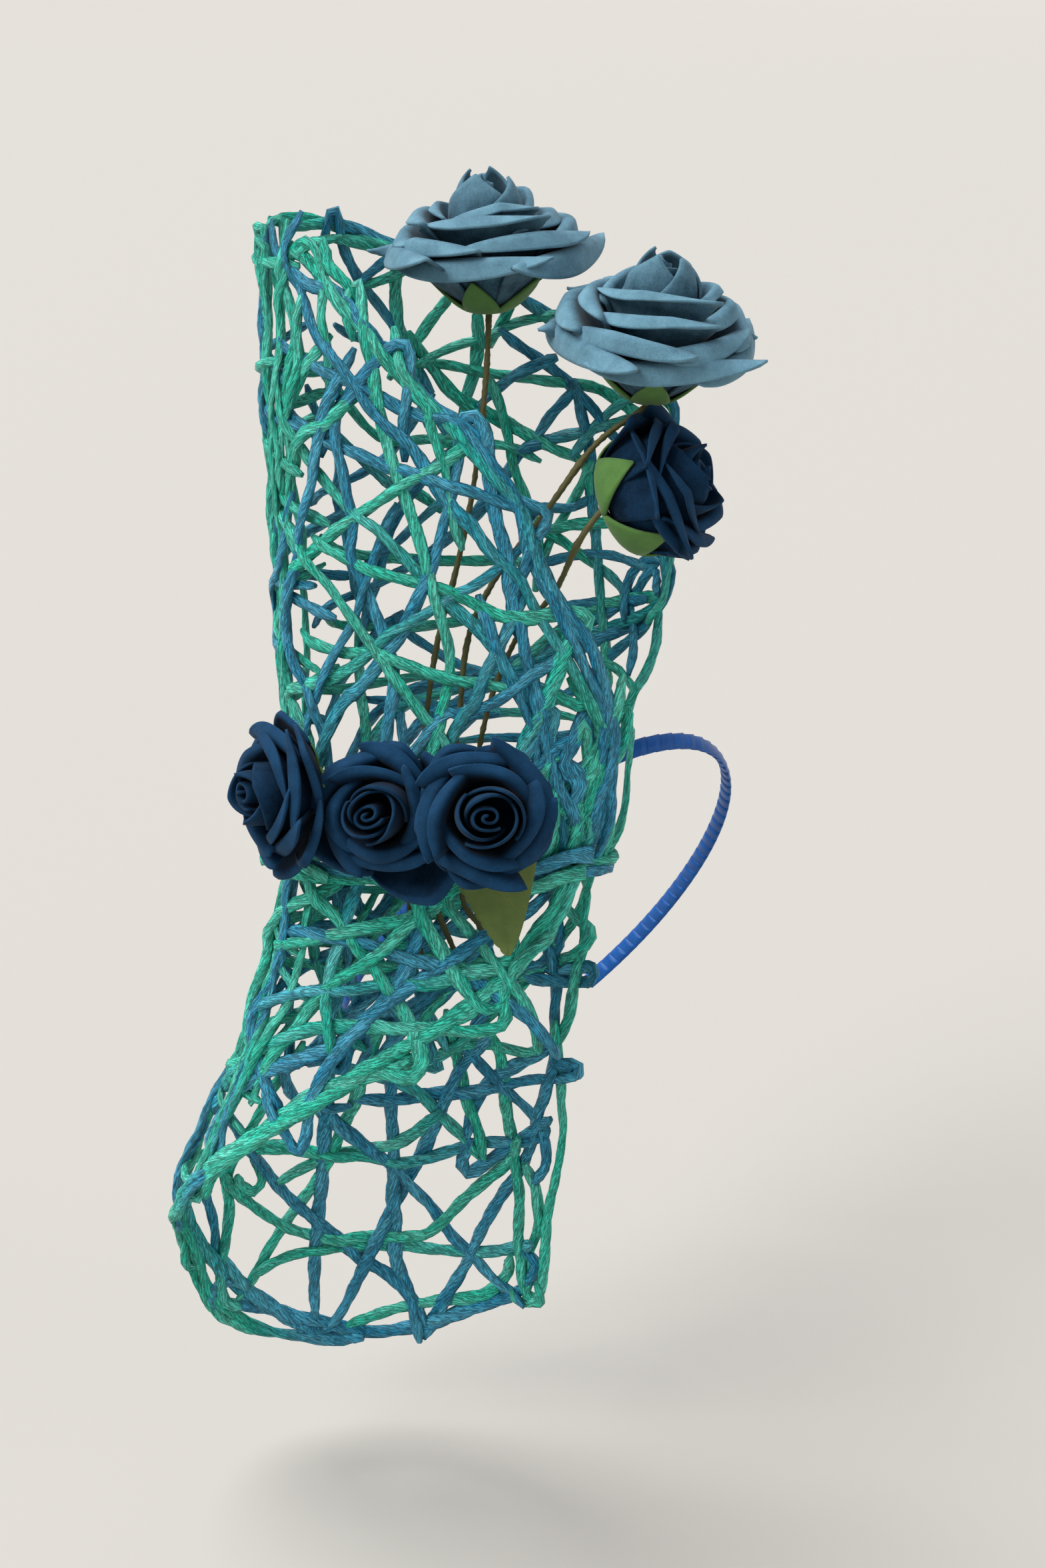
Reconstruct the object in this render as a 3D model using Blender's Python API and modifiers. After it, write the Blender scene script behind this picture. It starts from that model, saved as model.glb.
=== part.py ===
"""A sculpted fascinator: an open scroll of paper cord with foam roses, carried on a ribbon-wrapped headband.

Every piece is set out in millimetres as the fascinator is displayed: X to the right, Y away from the
viewer, Z up.  One empty turns it all into the wearer's frame, in metres: the wearer faces -Y, and the
origin lies under the top of the headband, where the band sits on the head.
"""
import math
import random
from collections import namedtuple

import bmesh
import bpy
from mathutils import Matrix, Vector
from mathutils.geometry import delaunay_2d_cdt

MM = 0.001
FIT_GAP = 0.3
SEAT_GAP = 0.8

# Where the top of the headband lies in the display frame, and how far the wearer's face is turned from it
BAND_TOP = Vector((57.0, 15.0, 11.0))
FACE_TURN = math.radians(31)

# Headband: a flat springy arch, leaning towards the forehead
BAND_HALF_WIDTH = 74.0
BAND_HEIGHT = 120.0
BAND_END_ANGLE = math.radians(112)
BAND_STRIP_WIDTH = 6.6
BAND_THICKNESS = 2.0
BAND_LEAN = math.radians(35)
BAND_ROLL = math.radians(12)
BAND_SEGMENTS = 26

# The lattice wall: each level is an oval, given by its height and how far it reaches to each side
Level = namedtuple("Level", "height left right near far")
WALL_LEVELS = (
    Level(-245, -133, 10, -82, -4),
    Level(-150, -133, 19, -82, -14),
    Level(-80, -104, 26, -72, -20),
    Level(-50, -93, 28, -64, -16),
    Level(-18, -87, 32, -58, -8.8),
    Level(10, -87, 41, -60, -6),
    Level(40, -89, 53, -60, 34),
    Level(80, -90, 58, -56, 50),
    Level(160, -93, 57, -42, 50),
    Level(210, -93, 53, -25, 45),
)
WALL_THICKNESS = 4.6
STRAND_WIDTH = 6.2
RIM_EXTRA = 3.0
UNROLLED_RADIUS = 60.0

# Free edges of the wall, from the right of the waist round the near side; angles in degrees
Turn = namedtuple("Turn", "angle height")
MOUTH_RIM = (
    Turn(0, -5), Turn(22, 8), Turn(40, 24), Turn(50, 52), Turn(60, 86), Turn(80, 127), Turn(98, 154),
    Turn(118, 176), Turn(138, 193), Turn(158, 200), Turn(196, 205), Turn(224, 200), Turn(248, 193),
    Turn(266, 183), Turn(288, 168), Turn(308, 155), Turn(337, 146), Turn(339, 82), Turn(339, 43),
    Turn(346, 16), Turn(360, -5),
)
SCOOP_RIM = (
    Turn(0, -32), Turn(24, -38), Turn(44, -48), Turn(60, -67), Turn(74, -76), Turn(90, -85),
    Turn(112, -96), Turn(132, -110), Turn(148, -128), Turn(166, -149), Turn(186, -161), Turn(200, -186),
    Turn(210, -212), Turn(228, -228), Turn(256, -240), Turn(286, -240), Turn(312, -230), Turn(338, -214),
    Turn(344, -146), Turn(342, -86), Turn(348, -50), Turn(360, -32),
)

# The cord tied flat round the waist, which parts the mouth from the scoop
WAIST_HEIGHT = -18.0
WAIST_CORD_RADIUS = 3.0
WAIST_CORD_POINTS = 28

# Crossings of the scoop that lie on the band's near leg
SCOOP_SEATS = (Turn(290, -38), Turn(262, -62))

# Roses: the foot of each, or its seat on the wall, the way it faces, its petals' reach and its length
Rose = namedtuple("Rose", "name foot seat facing reach length spin tint")
LIGHT_BLUE = (0.13, 0.24, 0.33)
NAVY = (0.018, 0.050, 0.120)
ROSES = (
    Rose("rose_top", (-12, 9, 175), None, (-0.03, -0.04, 1.0), 38, 48, 10, LIGHT_BLUE),
    Rose("rose_right", (42.5, -29, 151), None, (0.08, -0.22, 1.0), 38, 51, 40, LIGHT_BLUE),
    Rose("rose_side", (30.5, -37, 114), None, (0.93, -0.26, 0.42), 27.5, 42, 0, NAVY),
    Rose("rose_waist_left", None, Turn(136, 18), (-0.88, -0.46, 0.10), 24, 30, 20, NAVY),
    Rose("rose_waist_middle", None, Turn(110, 14), (-0.22, -0.94, 0.24), 21.5, 34, 60, NAVY),
    Rose("rose_waist_right", None, Turn(84, 17), (0.06, -0.94, 0.32), 22.5, 36, 30, NAVY),
)
# Two of the waist roses stand off the wall on stubs of their wire, clear of the one between
STUBS = {"rose_waist_left": 4.0, "rose_waist_right": 14.0}
PETAL_THICKNESS = 1.5
CALYX_THICKNESS = 1.0
BUD_FOOT_RADIUS = 3.0
BUD_FOOT_HEIGHT = 2.6
BUD_STEPS = 12

# Wire stems, from the foot of a rose through the mouth, past the waist cord and into the scoop
STEM_RADIUS = 1.1
STEM_SPACING = 11.0
STEM_NECK = 4.0
Stem = namedtuple("Stem", "name rose waist_angle route end")
STEMS = (
    Stem("stem_top", "rose_top", 104, ((-13, -3, 150), (-17, -22, 118), (-23, -33, 91),
                                       (-30, -42, 65), (-35, -49, 30)), (-36, -50, -50)),
    Stem("stem_right", "rose_right", 94, ((25, -25, 133), (8, -31, 111), (-10, -38, 88), (-19, -42, 68),
                                          (-23, -48, 34)), (-24, -50, -48)),
    Stem("stem_side", "rose_side", 84, ((19, -36, 101), (11, -37, 84), (-3, -38, 66),
                                        (-14, -46, 36)), (-15, -48, -38)),
)

# The one leaf, below the right-hand waist rose
LEAF_TOP = Vector((-12, -62.9, 2))
LEAF_LENGTH = 42.0
LEAF_HALF_WIDTH = 18.0
LEAF_THICKNESS = 0.8
LEAF_LEAN = math.radians(8)

BLUE_GREEN = (0.04, 0.36, 0.27)
DEEP_BLUE = (0.03, 0.14, 0.25)
ROYAL_BLUE = (0.02, 0.09, 0.42)
LEAF_GREEN = (0.11, 0.20, 0.04)
STEM_OLIVE = (0.10, 0.09, 0.025)


def make_material(name, colour, roughness):
    material = bpy.data.materials.new(name)
    material.use_nodes = True
    shader = material.node_tree.nodes["Principled BSDF"]
    shader.inputs["Base Color"].default_value = (*colour, 1.0)
    shader.inputs["Roughness"].default_value = roughness
    shader.inputs["Metallic"].default_value = 0.0
    return material


def add_part(name, data, material, parent, place=None):
    """Put a mesh or curve into the collection as one named sub-part."""
    part = bpy.data.objects.new(name, data)
    data.materials.append(material)
    collection.objects.link(part)
    part.parent = parent
    if place is not None:
        part.matrix_local = place
    return part


def add_shell(part, thickness, offset):
    solidify = part.modifiers.new("Wall", "SOLIDIFY")
    solidify.thickness = thickness * MM
    solidify.offset = offset
    solidify.use_even_offset = False


def mesh_from(bm, name):
    mesh = bpy.data.meshes.new(name)
    bm.to_mesh(mesh)
    bm.free()
    return mesh


def smooth_value(stations, values, where):
    """Read a smooth curve through the values at the given rising stations."""
    where = min(max(where, stations[0]), stations[-1])
    last = len(stations) - 1
    i = max(k for k in range(last) if stations[k] <= where)
    slopes = []
    for k in (i, i + 1):
        before, after = max(k - 1, 0), min(k + 1, last)
        slopes.append((values[after] - values[before]) / (stations[after] - stations[before]))
    span = stations[i + 1] - stations[i]
    t = (where - stations[i]) / span
    ease = t * t * (3 - 2 * t)
    return (values[i] * (1 - ease) + values[i + 1] * ease
            + span * (slopes[0] * t * (1 - t) ** 2 - slopes[1] * t * t * (1 - t)))


def wall_point(angle, height, outward=0.0):
    """A point of the wall: angle 0 is its right, 90 its near side; outward moves it off the wall."""
    heights = [level.height for level in WALL_LEVELS]
    left, right, near, far = (
        smooth_value(heights, [getattr(level, side) for level in WALL_LEVELS], height)
        for side in ("left", "right", "near", "far")
    )
    turn = math.radians(angle)
    half_width, half_depth = (right - left) / 2 + outward, (far - near) / 2 + outward
    return Vector(((left + right) / 2 + half_width * math.cos(turn),
                   (near + far) / 2 - half_depth * math.sin(turn), height))


def unrolled(turn):
    """The wall laid flat: distance round it against height."""
    return Vector((math.radians(turn.angle) * UNROLLED_RADIUS, turn.height))


def spaced_along(points, spacing):
    """Points along a line of straight runs, each run parted evenly."""
    result = []
    for start, end in zip(points, points[1:]):
        pieces = max(1, round((end - start).length / spacing))
        result += [start.lerp(end, k / pieces) for k in range(pieces)]
    return result + [points[-1]]


def inside_outline(point, outline):
    crossings = 0
    for a, b in zip(outline, outline[1:] + outline[:1]):
        if (a.y > point.y) != (b.y > point.y):
            crossings += point.x < a.x + (b.x - a.x) * (point.y - a.y) / (b.y - a.y)
    return crossings % 2 == 1


def net_crossings(outline, seats, spacing, rng):
    """Crossings of the net: the seats, and a loose staggered grid that keeps off the edges."""
    crossings = list(seats)
    low, high = min(p.y for p in outline), max(p.y for p in outline)
    row_height = spacing * 0.87
    for row in range(int((high - low) / row_height) + 1):
        for column in range(int(math.tau * UNROLLED_RADIUS / spacing) + 1):
            point = Vector((
                (column + 0.5 * (row % 2)) * spacing + rng.uniform(-0.16, 0.16) * spacing,
                low + (row + 0.5) * row_height + rng.uniform(-0.16, 0.16) * spacing,
            ))
            off_edge = min((point - p).length for p in outline) > 0.62 * spacing
            off_others = all((point - p).length > 0.7 * spacing for p in crossings)
            if off_edge and off_others and inside_outline(point, outline):
                crossings.append(point)
    return crossings


def gap_radius(face):
    return 2 * face.calc_area() / face.calc_perimeter()


def opens_out(edge):
    """Whether the two triangles beside an edge make one gap whose four corners all point out."""
    faces = edge.link_faces
    if len(faces) != 2 or any(len(face.verts) != 3 for face in faces):
        return False
    tips = [next(v for v in face.verts if v not in edge.verts) for face in faces]
    corners = [edge.verts[0].co, tips[0].co, edge.verts[1].co, tips[1].co]
    for k in range(4):
        before = (corners[k] - corners[k - 1]).normalized()
        after = (corners[(k + 1) % 4] - corners[k]).normalized()
        if before.dot(after) > 0.93 or before.cross(after).z * (
                corners[1] - corners[0]).cross(corners[2] - corners[1]).z <= 0:
            return False
    return True


def lattice_mesh(name, rim, waist, seats, spacing, most_gaps, seed):
    """An open net between the waist and a free edge: flat first, with its gaps cut, then rolled up."""
    rng = random.Random(seed)
    rim_line = spaced_along([unrolled(turn) for turn in rim], spacing * 0.8)
    waist_line = spaced_along([Vector((rim_line[-1].x, waist)), Vector((0, waist))], spacing * 0.8)
    outline = rim_line + waist_line
    crossings = net_crossings(outline, [unrolled(seat) for seat in seats], spacing, rng)
    corners = list(range(len(outline)))
    if waist > rim_line[0].y:
        corners.reverse()
    points, _, triangles, _, _, _ = delaunay_2d_cdt(outline + crossings, [], [corners], 1, 1e-5)
    bm = bmesh.new()
    verts = [bm.verts.new((p.x, p.y, 0)) for p in points]
    for triangle in triangles:
        bm.faces.new([verts[i] for i in triangle])

    spare = len(bm.faces) - most_gaps
    inner = sorted((e for e in bm.edges if opens_out(e)), key=lambda e: -e.calc_length() * rng.uniform(0.8, 1))
    for edge in inner:
        if spare > 0 and opens_out(edge):
            bmesh.ops.dissolve_edges(bm, edges=[edge], use_verts=False)
            spare -= 1
    bmesh.ops.bisect_edges(bm, edges=bm.edges[:], cuts=1)

    half_strand = STRAND_WIDTH / 2
    gaps = [face for face in bm.faces if gap_radius(face) > half_strand + 1.6]
    bmesh.ops.inset_individual(bm, faces=gaps, thickness=half_strand, use_even_offset=True)
    bmesh.ops.delete(bm, geom=gaps, context="FACES_ONLY")
    loose = [e for e in bm.edges if not e.link_faces]
    bmesh.ops.delete(bm, geom=loose, context="EDGES")

    seam = rim_line[-1].x
    grown = []
    edge_ids = {(round(p.x, 3), round(p.y, 3)) for p in rim_line}
    mids = [(a + b) / 2 for a, b in zip(rim_line, rim_line[1:])]
    edge_ids |= {(round(p.x, 3), round(p.y, 3)) for p in mids}
    for vert in bm.verts:
        if (round(vert.co.x, 3), round(vert.co.y, 3)) not in edge_ids or not 0.1 < vert.co.x < seam - 0.1:
            continue
        away = Vector((0, 0, 0))
        for edge in vert.link_edges:
            if edge.is_boundary:
                along = (edge.verts[1].co - edge.verts[0].co).normalized()
                off = (edge.verts[0].co + edge.verts[1].co) / 2 - edge.link_faces[0].calc_center_median()
                away += (off - along * off.dot(along)).normalized()
        grown.append((vert, away.normalized() * RIM_EXTRA))
    for vert, shift in grown:
        vert.co += shift

    for vert in bm.verts:
        vert.co = wall_point(math.degrees(vert.co.x / UNROLLED_RADIUS), vert.co.y) * MM
    bmesh.ops.remove_doubles(bm, verts=bm.verts[:], dist=0.00005)
    bmesh.ops.recalc_face_normals(bm, faces=bm.faces[:])
    return mesh_from(bm, name)


def smooth_route(points, spacing):
    """Evenly read points on a smooth curve through the points of a route."""
    lengths = [0.0]
    for a, b in zip(points, points[1:]):
        lengths.append(lengths[-1] + (Vector(b) - Vector(a)).length)
    count = max(4, round(lengths[-1] / spacing))
    return [
        Vector([smooth_value(lengths, [p[axis] for p in points], lengths[-1] * k / count) for axis in range(3)])
        for k in range(count + 1)
    ]


def tube_curve(name, points, radius, sides_step, closed=False):
    curve = bpy.data.curves.new(name, "CURVE")
    curve.dimensions = "3D"
    curve.bevel_depth = radius * MM
    curve.bevel_resolution = sides_step
    curve.use_fill_caps = not closed
    spline = curve.splines.new("POLY")
    spline.points.add(len(points) - 1)
    for place, point in zip(spline.points, points):
        place.co = (*(point * MM), 1.0)
    spline.use_cyclic_u = closed
    return curve


def flat_outline(name, points, thickness, edge_round):
    """A flat piece cut to an outline, with its edges eased."""
    curve = bpy.data.curves.new(name, "CURVE")
    curve.dimensions = "2D"
    curve.fill_mode = "BOTH"
    curve.extrude = (thickness / 2 - edge_round) * MM
    curve.bevel_depth = edge_round * MM
    curve.bevel_resolution = 0
    curve.offset = -edge_round * MM
    spline = curve.splines.new("POLY")
    spline.points.add(len(points) - 1)
    for place, (x, y) in zip(spline.points, points):
        place.co = (x * MM, y * MM, 0.0, 1.0)
    spline.use_cyclic_u = True
    return curve


def make_headband(parent, material):
    inner, outer = [], []
    for k in range(BAND_SEGMENTS + 1):
        turn = BAND_END_ANGLE * (2 * k / BAND_SEGMENTS - 1)
        for line, grow in ((inner, 0.0), (outer, BAND_THICKNESS)):
            line.append(((BAND_HALF_WIDTH + grow) * math.sin(turn),
                         (BAND_HEIGHT + grow) * math.cos(turn) - BAND_HEIGHT))
    outline = inner + outer[::-1]
    curve = flat_outline("headband", outline, BAND_STRIP_WIDTH, 0.5)
    stand = Matrix.Rotation(math.radians(90), 4, "X")
    lean = Matrix.Rotation(BAND_LEAN, 4, "X") @ Matrix.Rotation(BAND_ROLL, 4, "Y")
    face = Matrix.Rotation(FACE_TURN, 4, "Z")
    place = Matrix.Translation(BAND_TOP * MM) @ face @ lean @ stand
    add_part("headband", curve, material, parent, place)


def rose_foot(rose):
    if rose.seat is None:
        return Vector(rose.foot)
    off_wall = WALL_THICKNESS / 2 + SEAT_GAP + STUBS.get(rose.name, 0.0)
    return wall_point(rose.seat.angle, rose.seat.height, off_wall)


def rose_place(rose):
    """The rose's own frame in the display frame: Z from its foot to the tip of its bud."""
    facing = Vector(rose.facing).normalized()
    turn = facing.to_track_quat("Z", "Y").to_matrix().to_4x4()
    spin = Matrix.Rotation(math.radians(rose.spin), 4, "Z")
    return Matrix.Translation(rose_foot(rose) * MM) @ turn @ spin


# The run of a ring of petals from its foot to its rolled lip, in parts of the rose's reach and length
Ring = namedtuple("Ring", "out up")
OUTER_RINGS = (Ring(0.42, 0.19), Ring(0.76, 0.34), Ring(0.96, 0.51), Ring(1.0, 0.46))
INNER_RINGS = (Ring(0.42, 0.42), Ring(0.62, 0.62), Ring(0.69, 0.80), Ring(0.76, 0.78))
CALYX_RINGS = (Ring(0.20, 0.045), Ring(0.62, 0.19))
BUD_RINGS = (Ring(0.12, 0.30), Ring(0.31, 0.52), Ring(0.37, 0.76), Ring(0.32, 0.94), Ring(0.18, 1.0))


def petal_mesh(name, rose, rings, foot, petals, columns, corner, overlap):
    """A ring of petals fused into one wall: each petal starts inside the last and ends outside the next."""
    around = petals * columns
    rows = []
    bm = bmesh.new()
    rows.append([bm.verts.new((foot.out * math.cos(math.tau * k / around) * MM,
                               foot.out * math.sin(math.tau * k / around) * MM, foot.up * MM))
                 for k in range(around)])
    for number, ring in enumerate(rings, 1):
        share = number / len(rings)
        row = []
        for k in range(around):
            across = (k % columns) / columns
            edge = abs(2 * across - 1)
            out = rose.reach * ring.out * (1 - corner * share * edge ** 2)
            out += overlap * share * (0.5 - across)
            up = rose.length * ring.up * (1 - 0.10 * share * edge)
            turn = math.tau * k / around
            row.append(bm.verts.new((out * math.cos(turn) * MM, out * math.sin(turn) * MM, up * MM)))
        rows.append(row)
    for low, high in zip(rows, rows[1:]):
        for k in range(around):
            after = (k + 1) % around
            bm.faces.new((low[k], low[after], high[after], high[k]))
    return mesh_from(bm, name)


def calyx_mesh(name, rose):
    """Five pointed sepals on a small closed cup."""
    bm = bmesh.new()
    around = 10
    middle = bm.verts.new((0, 0, 0))
    rows = []
    for number, ring in enumerate(CALYX_RINGS):
        row = []
        for k in range(around):
            share = 1.0 if number == 0 or k % 2 == 0 else 0.52
            turn = math.tau * k / around
            out = rose.reach * ring.out * share
            up = rose.length * (ring.up if number == 0 else CALYX_RINGS[0].up + (
                ring.up - CALYX_RINGS[0].up) * (1.0 if k % 2 == 0 else 0.30))
            row.append(bm.verts.new((out * math.cos(turn) * MM, out * math.sin(turn) * MM, up * MM)))
        rows.append(row)
    for k in range(around):
        after = (k + 1) % around
        bm.faces.new((middle, rows[0][after], rows[0][k]))
        bm.faces.new((rows[0][k], rows[0][after], rows[1][after], rows[1][k]))
    return mesh_from(bm, name)


def bud_profile(rose):
    """Half the bud's outline, from its top down to its foot."""
    line = [(0.0, rose.length * BUD_RINGS[-1].up - 1.5)]
    line += [(rose.reach * ring.out, rose.length * ring.up) for ring in BUD_RINGS[::-1]]
    line += [(BUD_FOOT_RADIUS, rose.length * 0.22), (BUD_FOOT_RADIUS, BUD_FOOT_HEIGHT), (0.0, BUD_FOOT_HEIGHT)]
    return line


def make_bud(rose, parent, place, material):
    mesh = bpy.data.meshes.new(rose.name + "_bud")
    line = [(x * MM, 0.0, z * MM) for x, z in bud_profile(rose)]
    mesh.from_pydata(line, [(k, k + 1) for k in range(len(line) - 1)], [])
    part = add_part(rose.name + "_bud", mesh, material, parent, place)
    screw = part.modifiers.new("Turned", "SCREW")
    screw.steps = BUD_STEPS
    screw.render_steps = BUD_STEPS
    screw.use_merge_vertices = True
    screw.merge_threshold = 0.0001


def make_rose(rose, parent, petal_material, calyx_material):
    place = rose_place(rose)
    make_bud(rose, parent, place, petal_material)
    outer_foot = Ring(BUD_FOOT_RADIUS + PETAL_THICKNESS, BUD_FOOT_HEIGHT + CALYX_THICKNESS - FIT_GAP)
    inner_foot = Ring(outer_foot.out + FIT_GAP, rose.length * 0.20)
    outer = petal_mesh(rose.name + "_outer_petals", rose, OUTER_RINGS, outer_foot, 5, 4, 0.20, 4.0)
    inner = petal_mesh(rose.name + "_inner_petals", rose, INNER_RINGS, inner_foot, 4, 3, 0.14, 3.0)
    for mesh in (outer, inner):
        add_shell(add_part(mesh.name, mesh, petal_material, parent, place), PETAL_THICKNESS, -1.0)
    calyx = add_part(rose.name + "_calyx", calyx_mesh(rose.name + "_calyx", rose), calyx_material, parent, place)
    add_shell(calyx, CALYX_THICKNESS, -1.0)


def make_stem(stem, parent, material):
    rose = next(row for row in ROSES if row.name == stem.rose)
    facing = Vector(rose.facing).normalized()
    top = [rose_foot(rose) - facing * below for below in (FIT_GAP, STEM_NECK)]
    inside_cord = WAIST_CORD_RADIUS + STEM_RADIUS + FIT_GAP
    at_waist = wall_point(stem.waist_angle, WAIST_HEIGHT, -inside_cord)
    route = [*top, *map(Vector, stem.route), at_waist, Vector(stem.end)]
    points = smooth_route(route, STEM_SPACING)
    add_part(stem.name, tube_curve(stem.name, points, STEM_RADIUS, 1), material, parent)


def make_stub(rose, parent, material):
    """The short wire between a waist rose and the crossing that it is tied to."""
    foot = rose_foot(rose)
    wall = wall_point(rose.seat.angle, rose.seat.height, WALL_THICKNESS / 2 + SEAT_GAP)
    points = [wall, foot + (wall - foot).normalized() * FIT_GAP]
    name = rose.name + "_stub"
    add_part(name, tube_curve(name, points, STEM_RADIUS, 1), material, parent)


def make_waist_cord(parent, material):
    ring = [wall_point(360 * k / WAIST_CORD_POINTS, WAIST_HEIGHT) for k in range(WAIST_CORD_POINTS)]
    add_part("waist_cord", tube_curve("waist_cord", ring, WAIST_CORD_RADIUS, 1, closed=True), material, parent)


def make_leaf(parent, material):
    outline = [(-LEAF_HALF_WIDTH, 0), (-0.6 * LEAF_HALF_WIDTH, -0.45 * LEAF_LENGTH),
               (0.15 * LEAF_HALF_WIDTH, -LEAF_LENGTH), (0.7 * LEAF_HALF_WIDTH, -0.5 * LEAF_LENGTH),
               (LEAF_HALF_WIDTH, -2), (0, 3)]
    curve = flat_outline("leaf", outline, LEAF_THICKNESS, 0.1)
    stand = Matrix.Rotation(math.radians(90) - LEAF_LEAN, 4, "X")
    add_part("leaf", curve, material, parent, Matrix.Translation(LEAF_TOP * MM) @ stand)


for stale in list(bpy.data.objects):
    bpy.data.objects.remove(stale, do_unlink=True)
collection = bpy.data.collections.new("fascinator")
bpy.context.scene.collection.children.link(collection)

wearer = bpy.data.objects.new("wearer_frame", None)
collection.objects.link(wearer)
wearer.matrix_world = Matrix.Rotation(-FACE_TURN, 4, "Z") @ Matrix.Translation(-BAND_TOP * MM)

green_cord = make_material("green_paper_cord", BLUE_GREEN, 0.6)
blue_cord = make_material("blue_paper_cord", DEEP_BLUE, 0.6)
ribbon = make_material("blue_satin_ribbon", ROYAL_BLUE, 0.35)
sepal_green = make_material("green_foam", LEAF_GREEN, 0.7)
wire_olive = make_material("olive_wire", STEM_OLIVE, 0.5)
foams = {LIGHT_BLUE: make_material("light_blue_foam", LIGHT_BLUE, 0.6),
         NAVY: make_material("navy_foam", NAVY, 0.55)}

mouth_waist = WAIST_HEIGHT + WAIST_CORD_RADIUS + FIT_GAP
scoop_waist = WAIST_HEIGHT - WAIST_CORD_RADIUS - FIT_GAP
rose_seats = [rose.seat for rose in ROSES if rose.seat]
mouth_net = lattice_mesh("upper_lattice", MOUTH_RIM, mouth_waist, rose_seats, 42, 66, 5)
scoop_net = lattice_mesh("lower_lattice", SCOOP_RIM, scoop_waist, SCOOP_SEATS, 38, 50, 8)
add_shell(add_part("upper_lattice", mouth_net, green_cord, wearer), WALL_THICKNESS, 0.0)
add_shell(add_part("lower_lattice", scoop_net, green_cord, wearer), WALL_THICKNESS, 0.0)
make_waist_cord(wearer, blue_cord)
make_headband(wearer, ribbon)
for rose_row in ROSES:
    make_rose(rose_row, wearer, foams[rose_row.tint], sepal_green)
    if rose_row.name in STUBS:
        make_stub(rose_row, wearer, wire_olive)
for stem_row in STEMS:
    make_stem(stem_row, wearer, wire_olive)
make_leaf(wearer, sepal_green)
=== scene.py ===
"""Looks for a sculpted fascinator: an open scroll of twisted paper cord with foam roses on a ribbon-wound band.

Sizes are in millimetres as the piece is displayed: X to the right, Y away from the viewer, Z up.
placed() turns such points into the part's own frame, in metres.
"""
import math
import random
from collections import namedtuple

import bpy
import numpy as np
from mathutils import Matrix, Vector


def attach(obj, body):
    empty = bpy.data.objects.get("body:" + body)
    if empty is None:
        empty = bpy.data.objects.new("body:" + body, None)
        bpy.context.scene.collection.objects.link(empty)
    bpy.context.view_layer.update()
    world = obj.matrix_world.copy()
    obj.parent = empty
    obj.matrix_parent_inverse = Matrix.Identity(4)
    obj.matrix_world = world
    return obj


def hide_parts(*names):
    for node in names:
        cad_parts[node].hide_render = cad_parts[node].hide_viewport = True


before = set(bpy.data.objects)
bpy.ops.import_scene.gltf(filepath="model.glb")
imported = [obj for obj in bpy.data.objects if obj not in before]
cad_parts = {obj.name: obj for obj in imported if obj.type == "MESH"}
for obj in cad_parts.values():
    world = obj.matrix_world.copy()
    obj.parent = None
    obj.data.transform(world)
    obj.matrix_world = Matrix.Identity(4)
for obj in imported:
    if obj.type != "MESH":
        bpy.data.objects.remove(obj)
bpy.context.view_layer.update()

# Headband: a flat springy strip bent to an arch and wound with narrow royal-blue satin ribbon.
# Each turn of the ribbon slants across the strip and laps over the one before it.
MM = 0.001
BAND_TOP = np.array((57.0, 15.0, 11.0))
FACE_TURN = math.radians(31)
BAND_HALF_WIDTH = 74.0
BAND_HEIGHT = 120.0
BAND_END_ANGLE = math.radians(112)
BAND_LEAN = math.radians(35)
BAND_ROLL = math.radians(12)
BAND_STRIP_WIDTH = 6.6
BAND_THICKNESS = 2.0
RIBBON_STEP = 6.0
RIBBON_LAP = 1.3
RIBBON_SLANT = math.radians(22)
RIBBON_PLY = 0.35
RIBBON_SIDES = 20
RIBBON_FLARE = 0.015
RIB_GRAIN = 240.0
THREAD_GRAIN = 1900.0
THREAD_RELIEF = 0.00012
ARCH_POINTS = 160
ROYAL_BLUE = (0.006, 0.105, 0.385, 1)
ROYAL_SHADE = (0.003, 0.058, 0.25, 1)


def placed(points):
    """Turn display points in mm, one or many, into the part's frame in metres."""
    x, y, z = (np.asarray(points, float) - BAND_TOP).T * MM
    c, s = math.cos(FACE_TURN), math.sin(FACE_TURN)
    return np.stack([c * x + s * y, c * y - s * x, z], -1)


def add_node(tree, kind, inputs=None, **settings):
    """Add a node, set its fields, and link or set each named input."""
    made = tree.nodes.new(kind)
    for field, value in settings.items():
        setattr(made, field, value)
    for label, value in (inputs or {}).items():
        if isinstance(value, bpy.types.NodeSocket):
            tree.links.new(value, made.inputs[label])
        else:
            made.inputs[label].default_value = value
    return made


def add_math(tree, operation, *values):
    made = add_node(tree, "ShaderNodeMath", dict(enumerate(values)), operation=operation)
    return made.outputs[0]


def add_vector(tree, operation, *values):
    made = add_node(tree, "ShaderNodeVectorMath", dict(enumerate(values)), operation=operation)
    return made.outputs["Value" if operation == "DOT_PRODUCT" else "Vector"]


def new_tree(name, kind, inputs, outputs):
    """Start a node group with named sockets and return it with its inner ends."""
    tree = bpy.data.node_groups.new(name, kind)
    for in_out, sockets in (("INPUT", inputs), ("OUTPUT", outputs)):
        for label, socket_type in sockets:
            tree.interface.new_socket(label, in_out=in_out, socket_type="NodeSocket" + socket_type)
    return tree, tree.nodes.new("NodeGroupInput").outputs, tree.nodes.new("NodeGroupOutput").inputs


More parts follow.
